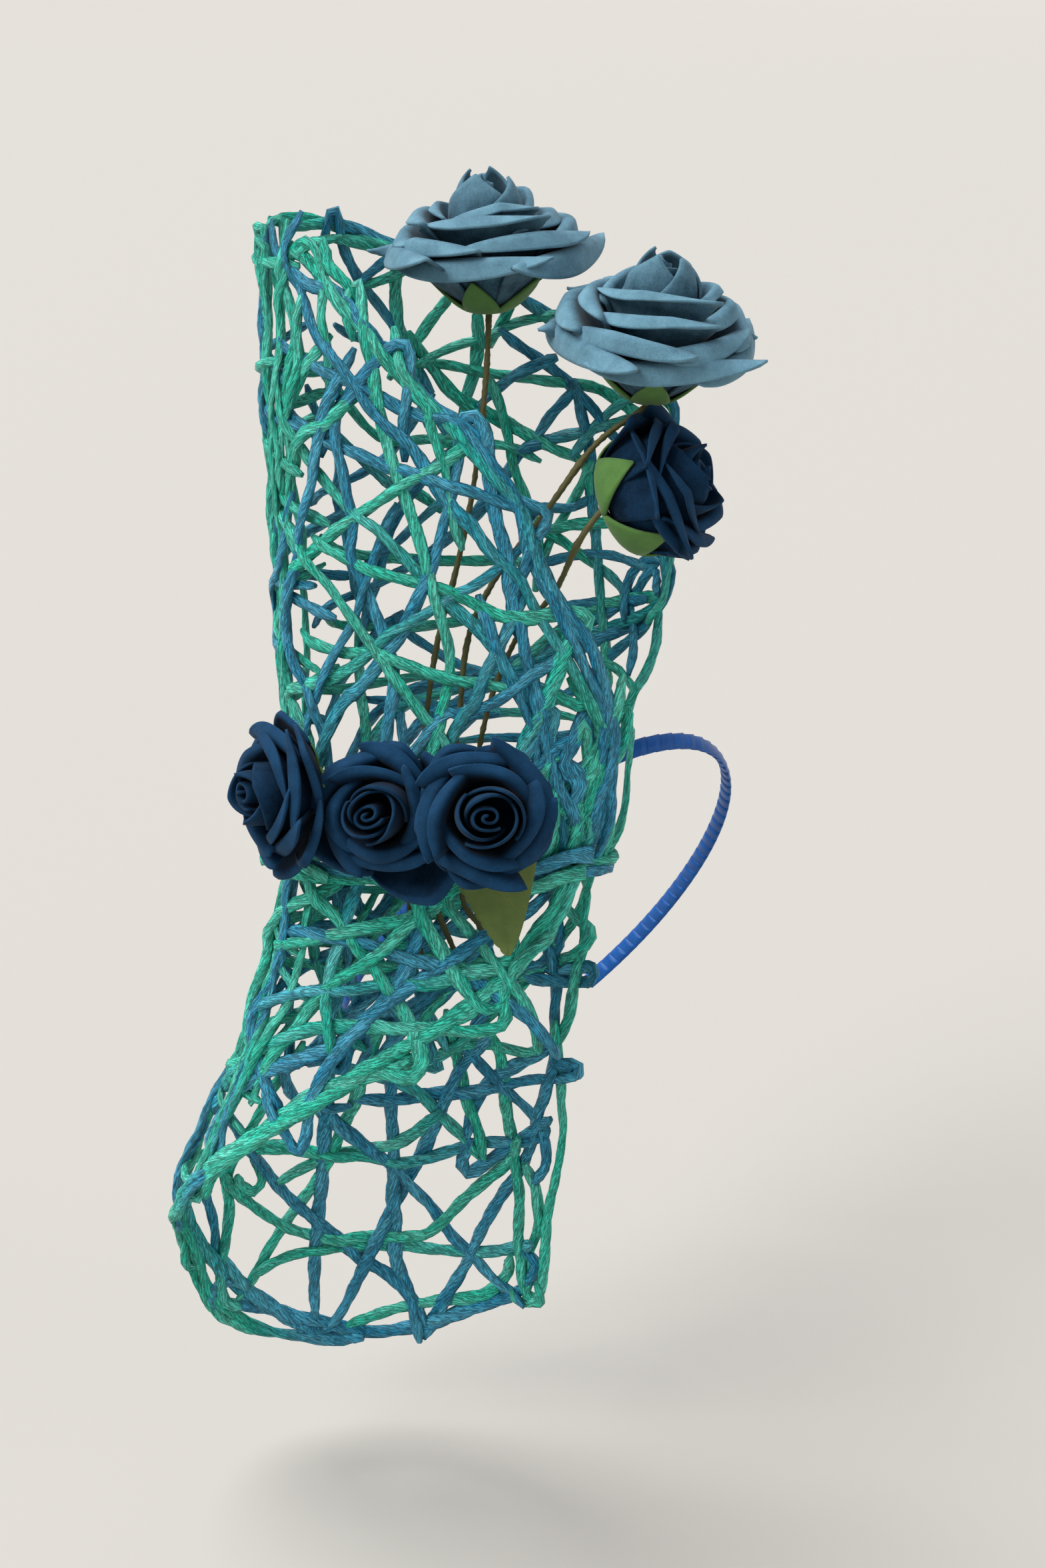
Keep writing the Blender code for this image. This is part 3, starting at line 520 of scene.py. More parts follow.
UPPER_NEAR = (
    (1, 0.2, 2.2, (120, 240), (165, 340), (215, 440), (280, 520), (370, 650), (440, 720), (490, 760),
     (600, 920), (680, 1000), (740, 1080), (820, 1150), (860, 1220), (900, 1290), (960, 1380), (1010, 1470),
     (1065, 1568), (1110, 1650)),
    (1, 1, 2.2, (82, 400), (100, 460), (150, 500), (230, 545), (310, 580), (380, 610), (450, 655), (530, 680),
     (620, 690), (700, 745), (745, 830), (800, 930), (880, 985)),
    (0.9, 1, 2.1, (100, 650), (130, 685), (180, 715), (240, 760), (330, 790), (420, 830), (500, 845),
     (570, 870), (650, 890), (740, 920), (830, 950), (905, 965)),
    (0, 0.9, 2.3, (88, 450), (92, 560), (110, 660), (150, 760), (190, 830), (250, 900), (330, 970), (400, 1010),
     (470, 1090), (540, 1170), (600, 1230), (680, 1290), (740, 1350), (790, 1430), (850, 1500), (890, 1580),
     (930, 1660)),
    (0, 0.4, 2.2, (85, 940), (130, 1010), (180, 1090), (240, 1160), (310, 1250), (360, 1330), (410, 1400),
     (470, 1480), (540, 1568), (600, 1640)),
    (0, 0.1, 2.4, (112, 1175), (140, 1130), (190, 1080), (260, 1020), (350, 960), (430, 910), (500, 865),
     (560, 840), (620, 800), (700, 740)),
    (0.9, 1, 2.4, (310, 480), (270, 590), (240, 650), (215, 760), (200, 870), (175, 960), (150, 1100),
     (135, 1200), (125, 1290), (150, 1400), (195, 1510)),
    (1, 1, 2.2, (200, 800), (240, 700), (290, 640), (330, 590), (370, 540), (410, 500), (450, 465), (480, 463),
     (494, 490), (488, 600), (472, 700), (465, 820)),
    (1, 1, 1.9, (440, 940), (410, 1010), (385, 1090), (360, 1180), (335, 1240), (300, 1320), (250, 1410),
     (205, 1500), (180, 1580)),
    (0, 0, 2.3, (310, 460), (300, 380), (305, 310), (335, 290), (350, 380), (365, 470), (385, 560), (400, 690),
     (430, 780), (455, 860), (490, 950), (520, 1030), (545, 1110), (560, 1180), (590, 1280), (612, 1380),
     (608, 1470), (585, 1580)),
    (0, 0.1, 2.3, (185, 1030), (270, 1080), (350, 1120), (440, 1150), (520, 1170), (600, 1190), (680, 1230),
     (760, 1265), (850, 1275), (950, 1262), (1020, 1262), (1044, 1290), (1010, 1320), (950, 1330)),
    (1, 0.5, 2.4, (760, 1020), (740, 900), (732, 800), (718, 720), (690, 680), (655, 700), (638, 800),
     (625, 890), (600, 980), (580, 1060), (550, 1150), (500, 1250), (440, 1350), (340, 1480), (270, 1560)),
    (1, 0.8, 2.3, (735, 880), (760, 1000), (790, 1100), (800, 1200), (830, 1300), (850, 1400), (880, 1500),
     (905, 1600)),
    (0.6, 0, 2.1, (850, 1060), (760, 1130), (690, 1180), (620, 1210), (560, 1250), (500, 1285), (430, 1320),
     (370, 1375), (310, 1420), (220, 1460), (130, 1485), (118, 1530), (160, 1570)),
    (0.1, 0.1, 2.2, (140, 1310), (220, 1360), (300, 1380), (380, 1375), (450, 1400), (540, 1430), (640, 1460),
     (740, 1475), (830, 1490), (920, 1500), (1000, 1530), (1090, 1560)),
    (0.8, 1, 2.2, (262, 620), (270, 730), (290, 830), (305, 920), (320, 1010), (320, 1080), (345, 1160),
     (370, 1220), (400, 1300), (430, 1400), (440, 1500), (430, 1580)),
    (0.7, 0.5, 2.2, (860, 1190), (800, 1290), (760, 1370), (720, 1440), (690, 1520), (640, 1590)),
    (0.3, 0.6, 3.4, (1000, 1290), (960, 1380), (930, 1450), (900, 1540), (860, 1620)),
    (1, 0.8, 2.1, (700, 1210), (760, 1370), (800, 1460), (840, 1540), (870, 1620)),
    (1, 0.9, 2.2, (800, 910), (850, 935), (905, 955), (908, 990), (870, 1050), (845, 1130), (815, 1190),
     (805, 1260), (830, 1340)),
    (0, 0.1, 2.2, (75, 330), (95, 250), (150, 170), (205, 175), (225, 260), (228, 380), (240, 500), (225, 620)),
    (1, 1, 2.4, (50, 100), (70, 180), (100, 230), (180, 290), (240, 300), (290, 330), (400, 460)),
    (0.2, 0.9, 2.5, (85, 170), (150, 200), (220, 270), (290, 350), (370, 440), (440, 530), (520, 620),
     (600, 690), (660, 760), (740, 850), (830, 950), (860, 1040), (905, 1150), (960, 1250), (1030, 1340),
     (1075, 1450), (1110, 1560), (1120, 1660)),
    (0.9, 0.8, 2.3, (480, 560), (560, 650), (630, 690), (720, 790), (790, 880), (830, 960), (850, 1060),
     (900, 1170), (950, 1260), (990, 1350), (1050, 1470), (1080, 1580)),
    (0, 0.2, 2.3, (95, 100), (110, 190), (95, 260), (120, 340), (150, 420), (135, 520), (120, 640), (112, 720),
     (118, 800), (108, 900), (122, 1000), (150, 1100)),
    (0.1, 0, 2.2, (160, 300), (150, 420), (160, 520), (130, 640), (100, 760), (95, 870), (90, 950)),
    (1, 0.9, 2.2, (118, 900), (110, 1100), (82, 1200), (88, 1300), (130, 1400), (190, 1500), (215, 1590)),
    (0, 0.4, 2.1, (430, 420), (470, 540), (540, 640), (560, 720), (600, 830), (620, 960), (650, 1080)),
    (0.3, 0, 2.1, (240, 440), (200, 500), (150, 580), (115, 650)),
    (0.2, 0.1, 2.2, (120, 830), (175, 730), (240, 700), (290, 650), (330, 600)),
    (0.9, 0.7, 2.3, (560, 1600), (640, 1560), (720, 1535), (800, 1490), (860, 1440), (950, 1400), (1000, 1385)),
    (0.9, 1, 2.2, (147, 75), (135, 120), (118, 170), (122, 240), (150, 330)),
    (0, 0.3, 2.3, (95, 160), (110, 175), (150, 205), (175, 172), (225, 170), (240, 225), (300, 285),
     (322, 345)),
    (0, 0, 2.2, (115, 190), (105, 300), (90, 400), (100, 480), (92, 560), (90, 700), (98, 800), (88, 940)),
    (1, 0.9, 2.6, (862, 1440), (880, 1540), (900, 1630), (920, 1700), (945, 1770), (985, 1850), (1010, 1930)),
    (0.9, 0.7, 2.4, (905, 1560), (922, 1630), (924, 1700), (915, 1790), (905, 1900)),
    (0.1, 0.1, 2.6, (985, 1450), (1030, 1515), (1072, 1575), (1084, 1640), (1080, 1710), (1060, 1800)),
    (1, 0.9, 2.8, (1036, 1545), (1045, 1620), (1056, 1690), (1074, 1760), (1082, 1830), (1066, 1930)),
    (0.9, 0.8, 2.8, (1030, 1440), (1078, 1510), (1100, 1590), (1106, 1650), (1092, 1730), (1050, 1830),
     (1048, 1930)),
    (0.1, 0, 3.2, (1060, 1690), (1036, 1750), (1008, 1820), (985, 1890), (960, 1950), (945, 2000)),
    (0.2, 0, 2.6, (1036, 1610), (1000, 1640), (960, 1672), (930, 1690), (900, 1720)),
    (0.9, 0.8, 3.6, (930, 1665), (965, 1710), (1005, 1750), (1000, 1830), (960, 1900)),
    (0.1, 0, 2.6, (1158, 1440), (1126, 1520), (1108, 1600), (1085, 1680)),
    (0, 0.1, 2.3, (1130, 1560), (1156, 1610), (1145, 1660), (1110, 1710), (1085, 1760)),
    (0.6, 0.4, 3.5, (1075, 1800), (1040, 1890), (1010, 1950), (990, 2000)),
    (0.1, 0, 2.8, (915, 1780), (922, 1850), (905, 1930), (885, 2000)),
    (0, 0, 2.8, (945, 1790), (955, 1870), (945, 1950), (930, 2000)),
)
UPPER_FAR = (
    (0, 0, 2.2, (240, 150), (330, 160), (420, 185), (510, 190), (640, 240)),
    (0.2, 0, 2.0, (350, 290), (440, 260), (520, 220), (600, 170)),
    (1, 0.8, 2.0, (440, 190), (350, 270), (260, 350)),
    (1, 0.6, 2.0, (232, 260), (240, 110), (264, 68), (300, 190), (350, 280), (420, 370), (500, 500),
     (560, 600)),
    (0.1, 0.8, 2.6, (460, 190), (455, 300), (465, 420), (520, 560), (540, 700)),
    (0, 0, 2.2, (620, 310), (560, 390), (510, 460), (420, 560)),
    (0, 0, 2.4, (480, 420), (540, 500), (620, 600), (700, 650), (780, 690), (860, 730), (940, 770), (1020, 810),
     (1060, 900)),
    (0, 0, 2.1, (480, 520), (600, 520), (720, 545), (830, 560), (960, 575), (1050, 590), (1140, 640),
     (1220, 680), (1275, 700)),
    (0, 0, 2.0, (500, 520), (570, 490), (650, 460), (730, 440), (810, 400), (900, 380), (980, 365)),
    (1, 1, 2.1, (770, 410), (830, 470), (900, 520), (980, 580), (1050, 650), (1110, 730), (1190, 800),
     (1240, 860), (1285, 930)),
    (1, 1, 2.2, (700, 640), (800, 560), (870, 525), (950, 495)),
    (1, 1, 2.2, (1000, 590), (930, 660), (880, 730), (820, 790), (760, 880), (680, 960)),
    (0.4, 0.2, 2.1, (1000, 790), (1060, 700), (1130, 640), (1220, 600), (1262, 580), (1286, 625)),
    (0, 0, 2.1, (730, 540), (770, 640), (790, 720), (810, 820), (850, 930), (900, 1060)),
    (0.2, 0.4, 2.0, (700, 350), (700, 450), (690, 540), (660, 640), (650, 760)),
    (1, 0, 2.4, (1000, 560), (1010, 640), (1035, 740), (1045, 830), (1045, 900), (1050, 1000), (1060, 1100),
     (1070, 1200), (1085, 1300), (1095, 1420), (1110, 1500)),
    (0.8, 0.3, 2.1, (830, 770), (920, 740), (1010, 720), (1080, 700), (1160, 680), (1240, 650), (1285, 680)),
    (1, 0.9, 1.9, (880, 930), (980, 940), (1060, 910), (1130, 950), (1200, 940), (1272, 965)),
    (0, 1, 2.2, (890, 1000), (960, 1040), (1050, 1110), (1120, 1170), (1160, 1250), (1180, 1340), (1180, 1430)),
    (0, 0, 2.0, (900, 1010), (980, 990), (1060, 985), (1120, 980), (1210, 960), (1278, 1012)),
    (0.9, 1, 2.0, (900, 1100), (1000, 1080), (1100, 1080), (1190, 1110), (1240, 1140), (1272, 1195)),
    (1, 0.8, 2.0, (940, 1230), (1040, 1220), (1130, 1220), (1240, 1205)),
    (0, 0.2, 2.0, (560, 750), (700, 750), (800, 760), (900, 800)),
    (0.2, 0, 2.2, (690, 370), (720, 470), (770, 400), (830, 300)),
    (0.6, 0.9, 2.0, (600, 900), (520, 980), (430, 1060), (330, 1120)),
    (0, 0.3, 2.1, (880, 1180), (900, 1080), (960, 960), (1010, 880), (1060, 800)),
    (0.9, 0.8, 2.0, (250, 400), (300, 430), (370, 450), (440, 480), (520, 560), (560, 640), (600, 720)),
    (0.8, 0.3, 2.0, (165, 580), (200, 650), (260, 710), (320, 770), (380, 830), (450, 880), (520, 900),
     (590, 950)),
    (0.2, 0, 2.1, (200, 520), (270, 590), (320, 650), (370, 710), (430, 745), (520, 740), (600, 735),
     (700, 720)),
    (1, 0.9, 2.0, (230, 560), (250, 640), (270, 720), (280, 800), (270, 900), (300, 1000), (310, 1100),
     (320, 1180), (370, 1260), (415, 1340), (440, 1440), (470, 1570)),
    (0.9, 0.9, 2.0, (170, 930), (260, 885), (340, 850), (420, 800), (470, 740), (520, 660), (560, 600)),
    (1, 0.9, 2.0, (330, 1330), (370, 1240), (400, 1150), (420, 1050), (460, 950), (520, 870), (590, 800),
     (650, 740)),
    (0.1, 0.2, 2.0, (200, 1020), (260, 1060), (350, 1080), (450, 1090), (560, 1095), (700, 1095), (800, 1095),
     (890, 1105)),
    (0.3, 0.1, 2.0, (190, 1230), (280, 1285), (400, 1292), (500, 1290), (600, 1280), (700, 1262), (790, 1250)),
    (1, 0.7, 2.0, (190, 1290), (260, 1230), (340, 1190), (430, 1140), (520, 1090), (610, 1030), (690, 970),
     (760, 900)),
    (1, 0.9, 2.1, (430, 1250), (490, 1310), (560, 1355), (640, 1400), (730, 1430), (820, 1450), (900, 1440)),
    (0, 0.1, 2.1, (310, 1250), (340, 1330), (350, 1420), (345, 1500), (355, 1600)),
    (0.9, 1, 2.0, (235, 1600), (270, 1520), (300, 1440), (340, 1370), (400, 1300), (470, 1240)),
    (0.8, 1, 2.2, (360, 1590), (430, 1520), (520, 1470), (620, 1450), (720, 1425), (800, 1395), (900, 1345),
     (1000, 1295), (1090, 1250), (1170, 1190), (1230, 1110), (1270, 1040)),
    (0.2, 0.7, 2.2, (400, 1600), (470, 1530), (570, 1490), (680, 1460), (790, 1430), (880, 1390), (980, 1340),
     (1080, 1300), (1170, 1270), (1240, 1230), (1280, 1150), (1285, 1060)),
    (0.4, 0.2, 2.1, (420, 1560), (520, 1510), (620, 1480), (720, 1450), (820, 1400), (930, 1310), (1040, 1240),
     (1130, 1215), (1220, 1205), (1258, 1215)),
    (1, 1, 2.2, (500, 1600), (600, 1530), (700, 1480), (820, 1440), (930, 1390), (1020, 1350), (1110, 1310),
     (1190, 1270), (1265, 1220), (1280, 1130), (1250, 1090), (1180, 1110), (1150, 1190), (1165, 1270)),
    (0.9, 0.6, 2.0, (640, 1600), (740, 1550), (850, 1540), (950, 1500), (1040, 1440), (1110, 1370),
     (1180, 1310), (1250, 1260)),
    (0.3, 0, 2.2, (1262, 1230), (1240, 1290), (1235, 1350), (1200, 1430), (1160, 1500), (1150, 1570),
     (1170, 1650)),
    (0, 0.1, 2.1, (1080, 1380), (1140, 1420), (1185, 1490), (1130, 1560), (1060, 1610), (980, 1640)),
    (0.9, 0.3, 2.1, (1260, 600), (1290, 630), (1292, 720), (1294, 820), (1290, 920), (1292, 1020), (1285, 1120),
     (1275, 1200), (1240, 1280)),
    (0.1, 0.9, 2.0, (1230, 600), (1275, 640), (1285, 740), (1270, 840), (1290, 940), (1280, 1040), (1262, 1130),
     (1275, 1210)),
)
LOWER_NEAR = (
    (1, 1, 2.3, (375, 90), (372, 240), (345, 360), (300, 480), (262, 580), (265, 690), (300, 790), (330, 860)),
    (0, 0, 2.2, (450, 205), (350, 260), (300, 320), (280, 430), (240, 540), (232, 640), (255, 720)),
    (0.9, 0.7, 2.2, (296, 290), (330, 312), (400, 310), (500, 325), (600, 350), (700, 385), (800, 410),
     (900, 460), (990, 500), (1080, 560), (1150, 640), (1210, 690)),
    (0, 0.1, 2.4, (415, 110), (470, 220), (530, 290), (580, 370), (640, 440), (680, 510), (720, 570),
     (755, 640), (770, 700), (740, 745), (680, 740), (620, 735)),
    (0, 0.1, 2.2, (310, 375), (325, 352), (420, 340), (540, 310), (640, 290), (730, 275), (820, 220),
     (890, 175)),
    (0.1, 0, 2.2, (900, 150), (800, 240), (730, 290), (650, 370), (560, 430), (480, 480), (420, 540),
     (380, 600), (330, 660), (265, 750), (215, 830)),
    (1, 1, 2.3, (1150, 200), (1050, 270), (950, 320), (880, 380), (800, 440), (700, 500), (640, 545),
     (560, 600), (500, 660), (440, 680), (340, 710), (260, 740), (190, 800), (140, 880), (108, 1010)),
    (1, 1, 2.3, (830, 130), (790, 230), (760, 310), (730, 400), (690, 480), (620, 560), (540, 640), (480, 720),
     (430, 830), (420, 920), (390, 965), (350, 900), (300, 820), (275, 740)),
    (0.6, 0.1, 2.2, (250, 560), (270, 540), (330, 510), (420, 490), (520, 490), (620, 480), (700, 470),
     (800, 470), (920, 440), (1020, 415), (1100, 390)),
    (0.5, 0, 2.3, (140, 775), (175, 740), (230, 690), (300, 650), (400, 610), (500, 600), (600, 600),
     (700, 600), (800, 600), (900, 610), (980, 602), (1020, 580), (1022, 520), (1020, 450)),
    (0.1, 0.3, 2.6, (60, 1080), (150, 990), (260, 920), (350, 860), (440, 800), (540, 760), (620, 710),
     (720, 660), (800, 610), (880, 560), (950, 510), (1020, 470), (1080, 400), (1130, 350), (1180, 260),
     (1230, 130), (1260, 40)),
    (0, 0.1, 2.4, (95, 1100), (160, 1010), (240, 950), (330, 890), (420, 840), (500, 790), (580, 750),
     (700, 720), (760, 690)),
    (0, 0.5, 2.4, (760, 650), (850, 590), (920, 550), (990, 480), (1060, 430), (1100, 330), (1150, 240),
     (1190, 130), (1230, 60)),
    (0, 0.1, 2.3, (740, 150), (770, 260), (810, 340), (850, 410), (890, 470), (930, 520), (975, 545),
     (1020, 520), (1040, 440), (1090, 370), (1160, 320), (1185, 285)),
    (0, 0, 2.1, (790, 150), (850, 240), (900, 300), (950, 360), (1000, 420), (1080, 520), (1120, 600),
     (1150, 680)),
    (0.7, 0.2, 2.2, (585, 150), (560, 230), (520, 340), (490, 430), (478, 520), (488, 620), (480, 700)),
)
LOWER_FAR = (
    (1, 0.9, 2.2, (195, 890), (240, 935), (290, 990), (360, 1070), (430, 1130), (520, 1200), (600, 1270),
     (680, 1310), (740, 1370), (795, 1450)),
    (0, 0, 2.2, (150, 1010), (190, 1050), (240, 1090), (330, 1150), (420, 1190), (520, 1205), (600, 1200),
     (700, 1195), (780, 1190), (840, 1150), (900, 1090), (960, 1040), (1030, 980), (1090, 900)),
    (0.3, 0.4, 2.2, (240, 1300), (340, 1260), (430, 1235), (540, 1230), (650, 1225), (750, 1230), (860, 1240),
     (960, 1245), (1060, 1235), (1140, 1215)),
    (1, 1, 2.3, (430, 780), (510, 860), (570, 900), (640, 950), (720, 1020), (790, 1100), (850, 1180),
     (910, 1240), (970, 1300), (1030, 1350), (1110, 1400)),
    (0.9, 1, 2.3, (1000, 590), (960, 630), (900, 690), (860, 760), (820, 850), (780, 940), (740, 1010),
     (690, 1110), (640, 1200), (590, 1300), (540, 1400), (475, 1475), (450, 1440), (448, 1400)),
    (0.9, 1, 2.4, (680, 560), (680, 620), (680, 720), (680, 830), (690, 940), (690, 1050), (690, 1160),
     (700, 1270), (740, 1370), (780, 1490)),
    (0.6, 1, 2.4, (500, 460), (495, 600), (490, 760), (480, 860), (475, 960), (470, 1070), (460, 1180),
     (450, 1290), (448, 1420)),
    (0, 0, 2.2, (650, 560), (600, 700), (570, 800), (530, 890), (480, 1000), (430, 1080), (370, 1160),
     (320, 1230), (260, 1330), (205, 1380)),
    (0, 0.5, 2.2, (330, 1030), (420, 990), (500, 960), (600, 940), (690, 920), (770, 880), (840, 820)),
    (0.2, 0.7, 2.2, (240, 940), (340, 935), (420, 945), (500, 955), (600, 960), (700, 975), (800, 960),
     (920, 930), (1000, 920), (1090, 920), (1180, 880)),
    (1, 1, 2.3, (560, 790), (700, 795), (800, 785), (900, 775), (1000, 760), (1100, 740), (1240, 730),
     (1250, 705), (1190, 690)),
    (1, 1, 2.3, (1190, 600), (1180, 700), (1150, 790), (1110, 900), (1070, 990), (1010, 1090), (950, 1190),
     (900, 1290), (840, 1390), (785, 1485)),
    (0.1, 0, 2.4, (1000, 590), (1020, 750), (1030, 860), (1050, 950), (1070, 1040), (1075, 1150), (1080, 1250),
     (1088, 1350), (1110, 1388), (1142, 1378), (1140, 1335)),
    (0, 0.1, 2.2, (1200, 560), (1185, 700), (1195, 790), (1205, 880), (1180, 1000), (1160, 1120), (1150, 1240),
     (1136, 1350), (1112, 1392), (1075, 1388), (1060, 1350)),
    (0.8, 0.9, 2.5, (235, 1330), (190, 1322), (152, 1345), (146, 1385), (180, 1402), (240, 1400), (340, 1420),
     (440, 1440), (540, 1460), (640, 1475), (750, 1460), (850, 1430), (950, 1400), (1050, 1370), (1105, 1320),
     (1118, 1270), (1090, 1235)),
    (0.1, 0.2, 2.3, (530, 1470), (620, 1430), (720, 1400), (850, 1385), (960, 1370), (1010, 1330),
     (1060, 1250)),
    (0.5, 0.8, 2.7, (90, 1050), (60, 1085), (66, 1140), (90, 1200), (150, 1280), (220, 1340), (300, 1390),
     (400, 1450), (480, 1490), (600, 1480)),
    (0.3, 0.2, 2.3, (215, 880), (262, 950), (296, 1020), (270, 1066), (225, 1050), (200, 1015)),
    (0.7, 0.7, 2.3, (135, 760), (140, 800), (180, 850), (230, 910), (265, 970)),
    (0.6, 0.3, 2.2, (400, 640), (450, 670), (520, 700), (600, 720), (680, 745), (760, 770), (830, 840),
     (900, 900), (960, 960)),
    (0.9, 1, 2.2, (1130, 120), (1180, 250), (1192, 330), (1130, 400), (1050, 440), (960, 540), (940, 590)),
    (0.1, 0.1, 2.2, (1180, 180), (1230, 260), (1284, 325), (1230, 380), (1150, 400), (1080, 440)),
    (0.9, 1, 2.2, (1090, 430), (1180, 450), (1270, 455), (1298, 430), (1262, 410), (1200, 420)),
    (1, 1, 2.3, (1170, 330), (1170, 500), (1175, 600), (1150, 650), (1070, 690), (1000, 730), (930, 800),
     (920, 900)),
    (1, 0.9, 2.2, (640, 470), (700, 540), (790, 590), (900, 640), (1000, 740), (1070, 810), (1140, 900),
     (1150, 990), (1130, 1040)),
    (1, 1, 2.2, (1190, 850), (1120, 880), (1000, 960), (920, 1010), (900, 970), (930, 900)),
    (0.2, 0, 2.2, (1100, 980), (1120, 1060), (1130, 1160), (1100, 1260), (1095, 1380)),
    (0, 0.2, 2.0, (1060, 300), (1040, 420), (960, 450), (860, 470), (770, 560)),
    (0.9, 1, 2.0, (330, 700), (390, 790), (470, 820), (560, 800)),
    (0, 0, 2.2, (850, 520), (870, 640), (900, 780), (950, 880), (980, 960)),
    (0, 0.2, 2.2, (400, 620), (370, 700), (300, 800), (250, 900), (200, 1000), (195, 1120), (172, 1240),
     (160, 1340), (172, 1388), (215, 1398)),
    (0.9, 0.6, 2.2, (110, 1010), (140, 1140), (165, 1250), (220, 1340)),
    (0, 0, 2.1, (1235, 130), (1262, 230), (1262, 330), (1245, 440), (1212, 560), (1190, 640)),
    (0.2, 0.1, 2.1, (320, 385), (450, 402), (560, 408), (680, 400), (780, 372), (880, 400), (1000, 410),
     (1100, 400)),
    (1, 1, 2.1, (300, 490), (380, 430), (460, 380), (560, 330), (640, 260), (700, 170)),
    (0, 0, 2.0, (530, 300), (640, 295), (730, 275), (830, 245), (930, 195), (1000, 150)),
    (1, 1, 2.0, (915, 150), (935, 220), (950, 300), (975, 380), (1000, 460), (1040, 560)),
    (0, 0.2, 2.0, (830, 645), (920, 630), (1010, 635), (1090, 655), (1150, 640)),
    (0.1, 0.4, 2.1, (410, 130), (440, 220), (430, 300), (450, 400), (500, 500), (540, 600), (600, 640)),
    (0.9, 0.5, 2.0, (500, 150), (560, 220), (660, 300), (720, 360), (760, 470), (800, 560), (860, 640)),
)


def chart_row(spot, corner, side):
    """Follow the viewer's sight line through a chart spot to the near (-1) or far (1) wall."""
    across = (corner[0] + spot[0] / CHART_SCALE - VIEW_MIDDLE[0]) / VIEW_FOCUS
    rise = (VIEW_MIDDLE[1] - corner[1] - spot[1] / CHART_SCALE) / VIEW_FOCUS
    eye_y, eye_z = -VIEW_DISTANCE * math.cos(VIEW_DROP), VIEW_DISTANCE * math.sin(VIEW_DROP)
    y = SIGHT_START * side
    for _ in range(SIGHT_ROUNDS):
        reach = (y - eye_y) / (math.cos(VIEW_DROP) + math.sin(VIEW_DROP) * rise)
        x = reach * across
        z = eye_z + reach * (math.cos(VIEW_DROP) * rise - math.sin(VIEW_DROP))
        corners = wall_points(np.array((0, 90, 180, 270)), z)
        middle_x, half_x = (corners[0][0] + corners[2][0]) / 2, (corners[0][0] - corners[2][0]) / 2
        middle_y, half_y = (corners[1][1] + corners[3][1]) / 2, (corners[3][1] - corners[1][1]) / 2
        share = max(-1.0, min(1.0, (x - middle_x) / half_x))
        y += SIGHT_EASE * (middle_y + side * half_y * math.sqrt(1 - share * share) - y)
    angle = math.degrees(math.atan2(-side * math.sqrt(1 - share * share), share)) % 360
    stray = max(0.0, abs(x - middle_x) - half_x)
    return angle, z, min(stray, STRAY_MOST)


def charted(courses, corner, side, width, tied):
    """Turn charted courses into wall rows; a cord that ends within the tied stretch runs on into the tie."""
    runs = []
    for dye, end_dye, half_width, *course in courses:
        rows = np.array([chart_row(spot, corner, side) for spot in course])
        rows[:, 0] = np.degrees(np.unwrap(np.radians(rows[:, 0])))
        for end, before in ((0, 1), (-1, -2)):
            if tied[0] < course[end][1] < tied[1]:
                fall = max(TIE_LEAST_FALL, abs(rows[end, 1] - rows[before, 1]))
                lean = (rows[end, 0] - rows[before, 0]) / fall * abs(rows[end, 1] - WAIST_HEIGHT)
                lean = max(-TIE_LEAN_MOST, min(TIE_LEAN_MOST, TIE_LEAN * lean))
                tie = (rows[end, 0] + lean, WAIST_HEIGHT, TIED_IN)
                rows = np.vstack([rows, tie] if end else [tie, rows])
        rows = even_rows(rows)
        tuck = np.minimum(np.arange(len(rows)), np.arange(len(rows))[::-1])
        rows[:, 2] -= END_TUCK * np.exp(-(tuck / END_TUCK_REACH) ** 2)
        share = np.linspace(0, 1, len(rows))
        runs.append((rows, half_width * width, dye + (end_dye - dye) * share))
    return runs


def rim_height(rim, angle):
    table = np.array(rim, float)
    return np.interp(np.mod(angle, 360), table[:, 0], table[:, 1])


def woven(edge_line, waist, first, last, spacing, leans, rng):
    """Weave an unseen stretch: each cord runs from the waist to the edge, hooks over and comes back."""
    runs = []
    foot = first
    while foot < last:
        top = foot + rng.choice((-1, 1)) * rng.uniform(*leans)
        top = top if first < top < last else 2 * foot - top
        back = top + rng.choice((-1, 1)) * rng.uniform(*leans)
        back = back if first < back < last else 2 * top - back
        edge = float(rim_height(edge_line, top)) + rng.uniform(-EDGE_STRAY, 0) * math.copysign(1, -waist)
        span, lift = edge - waist, math.copysign(1, edge - waist)
        side = rng.choice((-1, 1))
        rows = [(foot, waist, TIED_IN)]
        for share in WOVEN_UP:
            stray = rng.uniform(-WOVEN_STRAY, WOVEN_STRAY)
            rows.append((foot + (top - foot) * share + stray, waist + span * share, 0))
        for turn, rise, out in zip(HOOK_TURNS, (1, 1 + HOOK, 1), (HOOK * side, 0, -HOOK * side)):
            rows.append((top + turn, edge + lift * rise, out))
        for share in WOVEN_BACK:
            stray = rng.uniform(-WOVEN_STRAY, WOVEN_STRAY)
            rows.append((back + (top - back) * share + stray, waist + span * share, 0))
        rows.append((back, waist, TIED_IN))
        rows = even_rows(rows)
        start_dye, end_dye = rng.choice(WOVEN_DYES)
        runs.append((rows, rng.uniform(*WOVEN_WIDTHS), np.linspace(start_dye, end_dye, len(rows))))
        foot += spacing * rng.uniform(*SPACING_VARY)
    return runs


def drifting_dye(count, most, rng):
    """Dye that goes back and forth between green and blue along a cord."""
    return 0.5 + 0.5 * np.sin(np.linspace(0, rng.uniform(*most), count) + rng.uniform(0, 6))


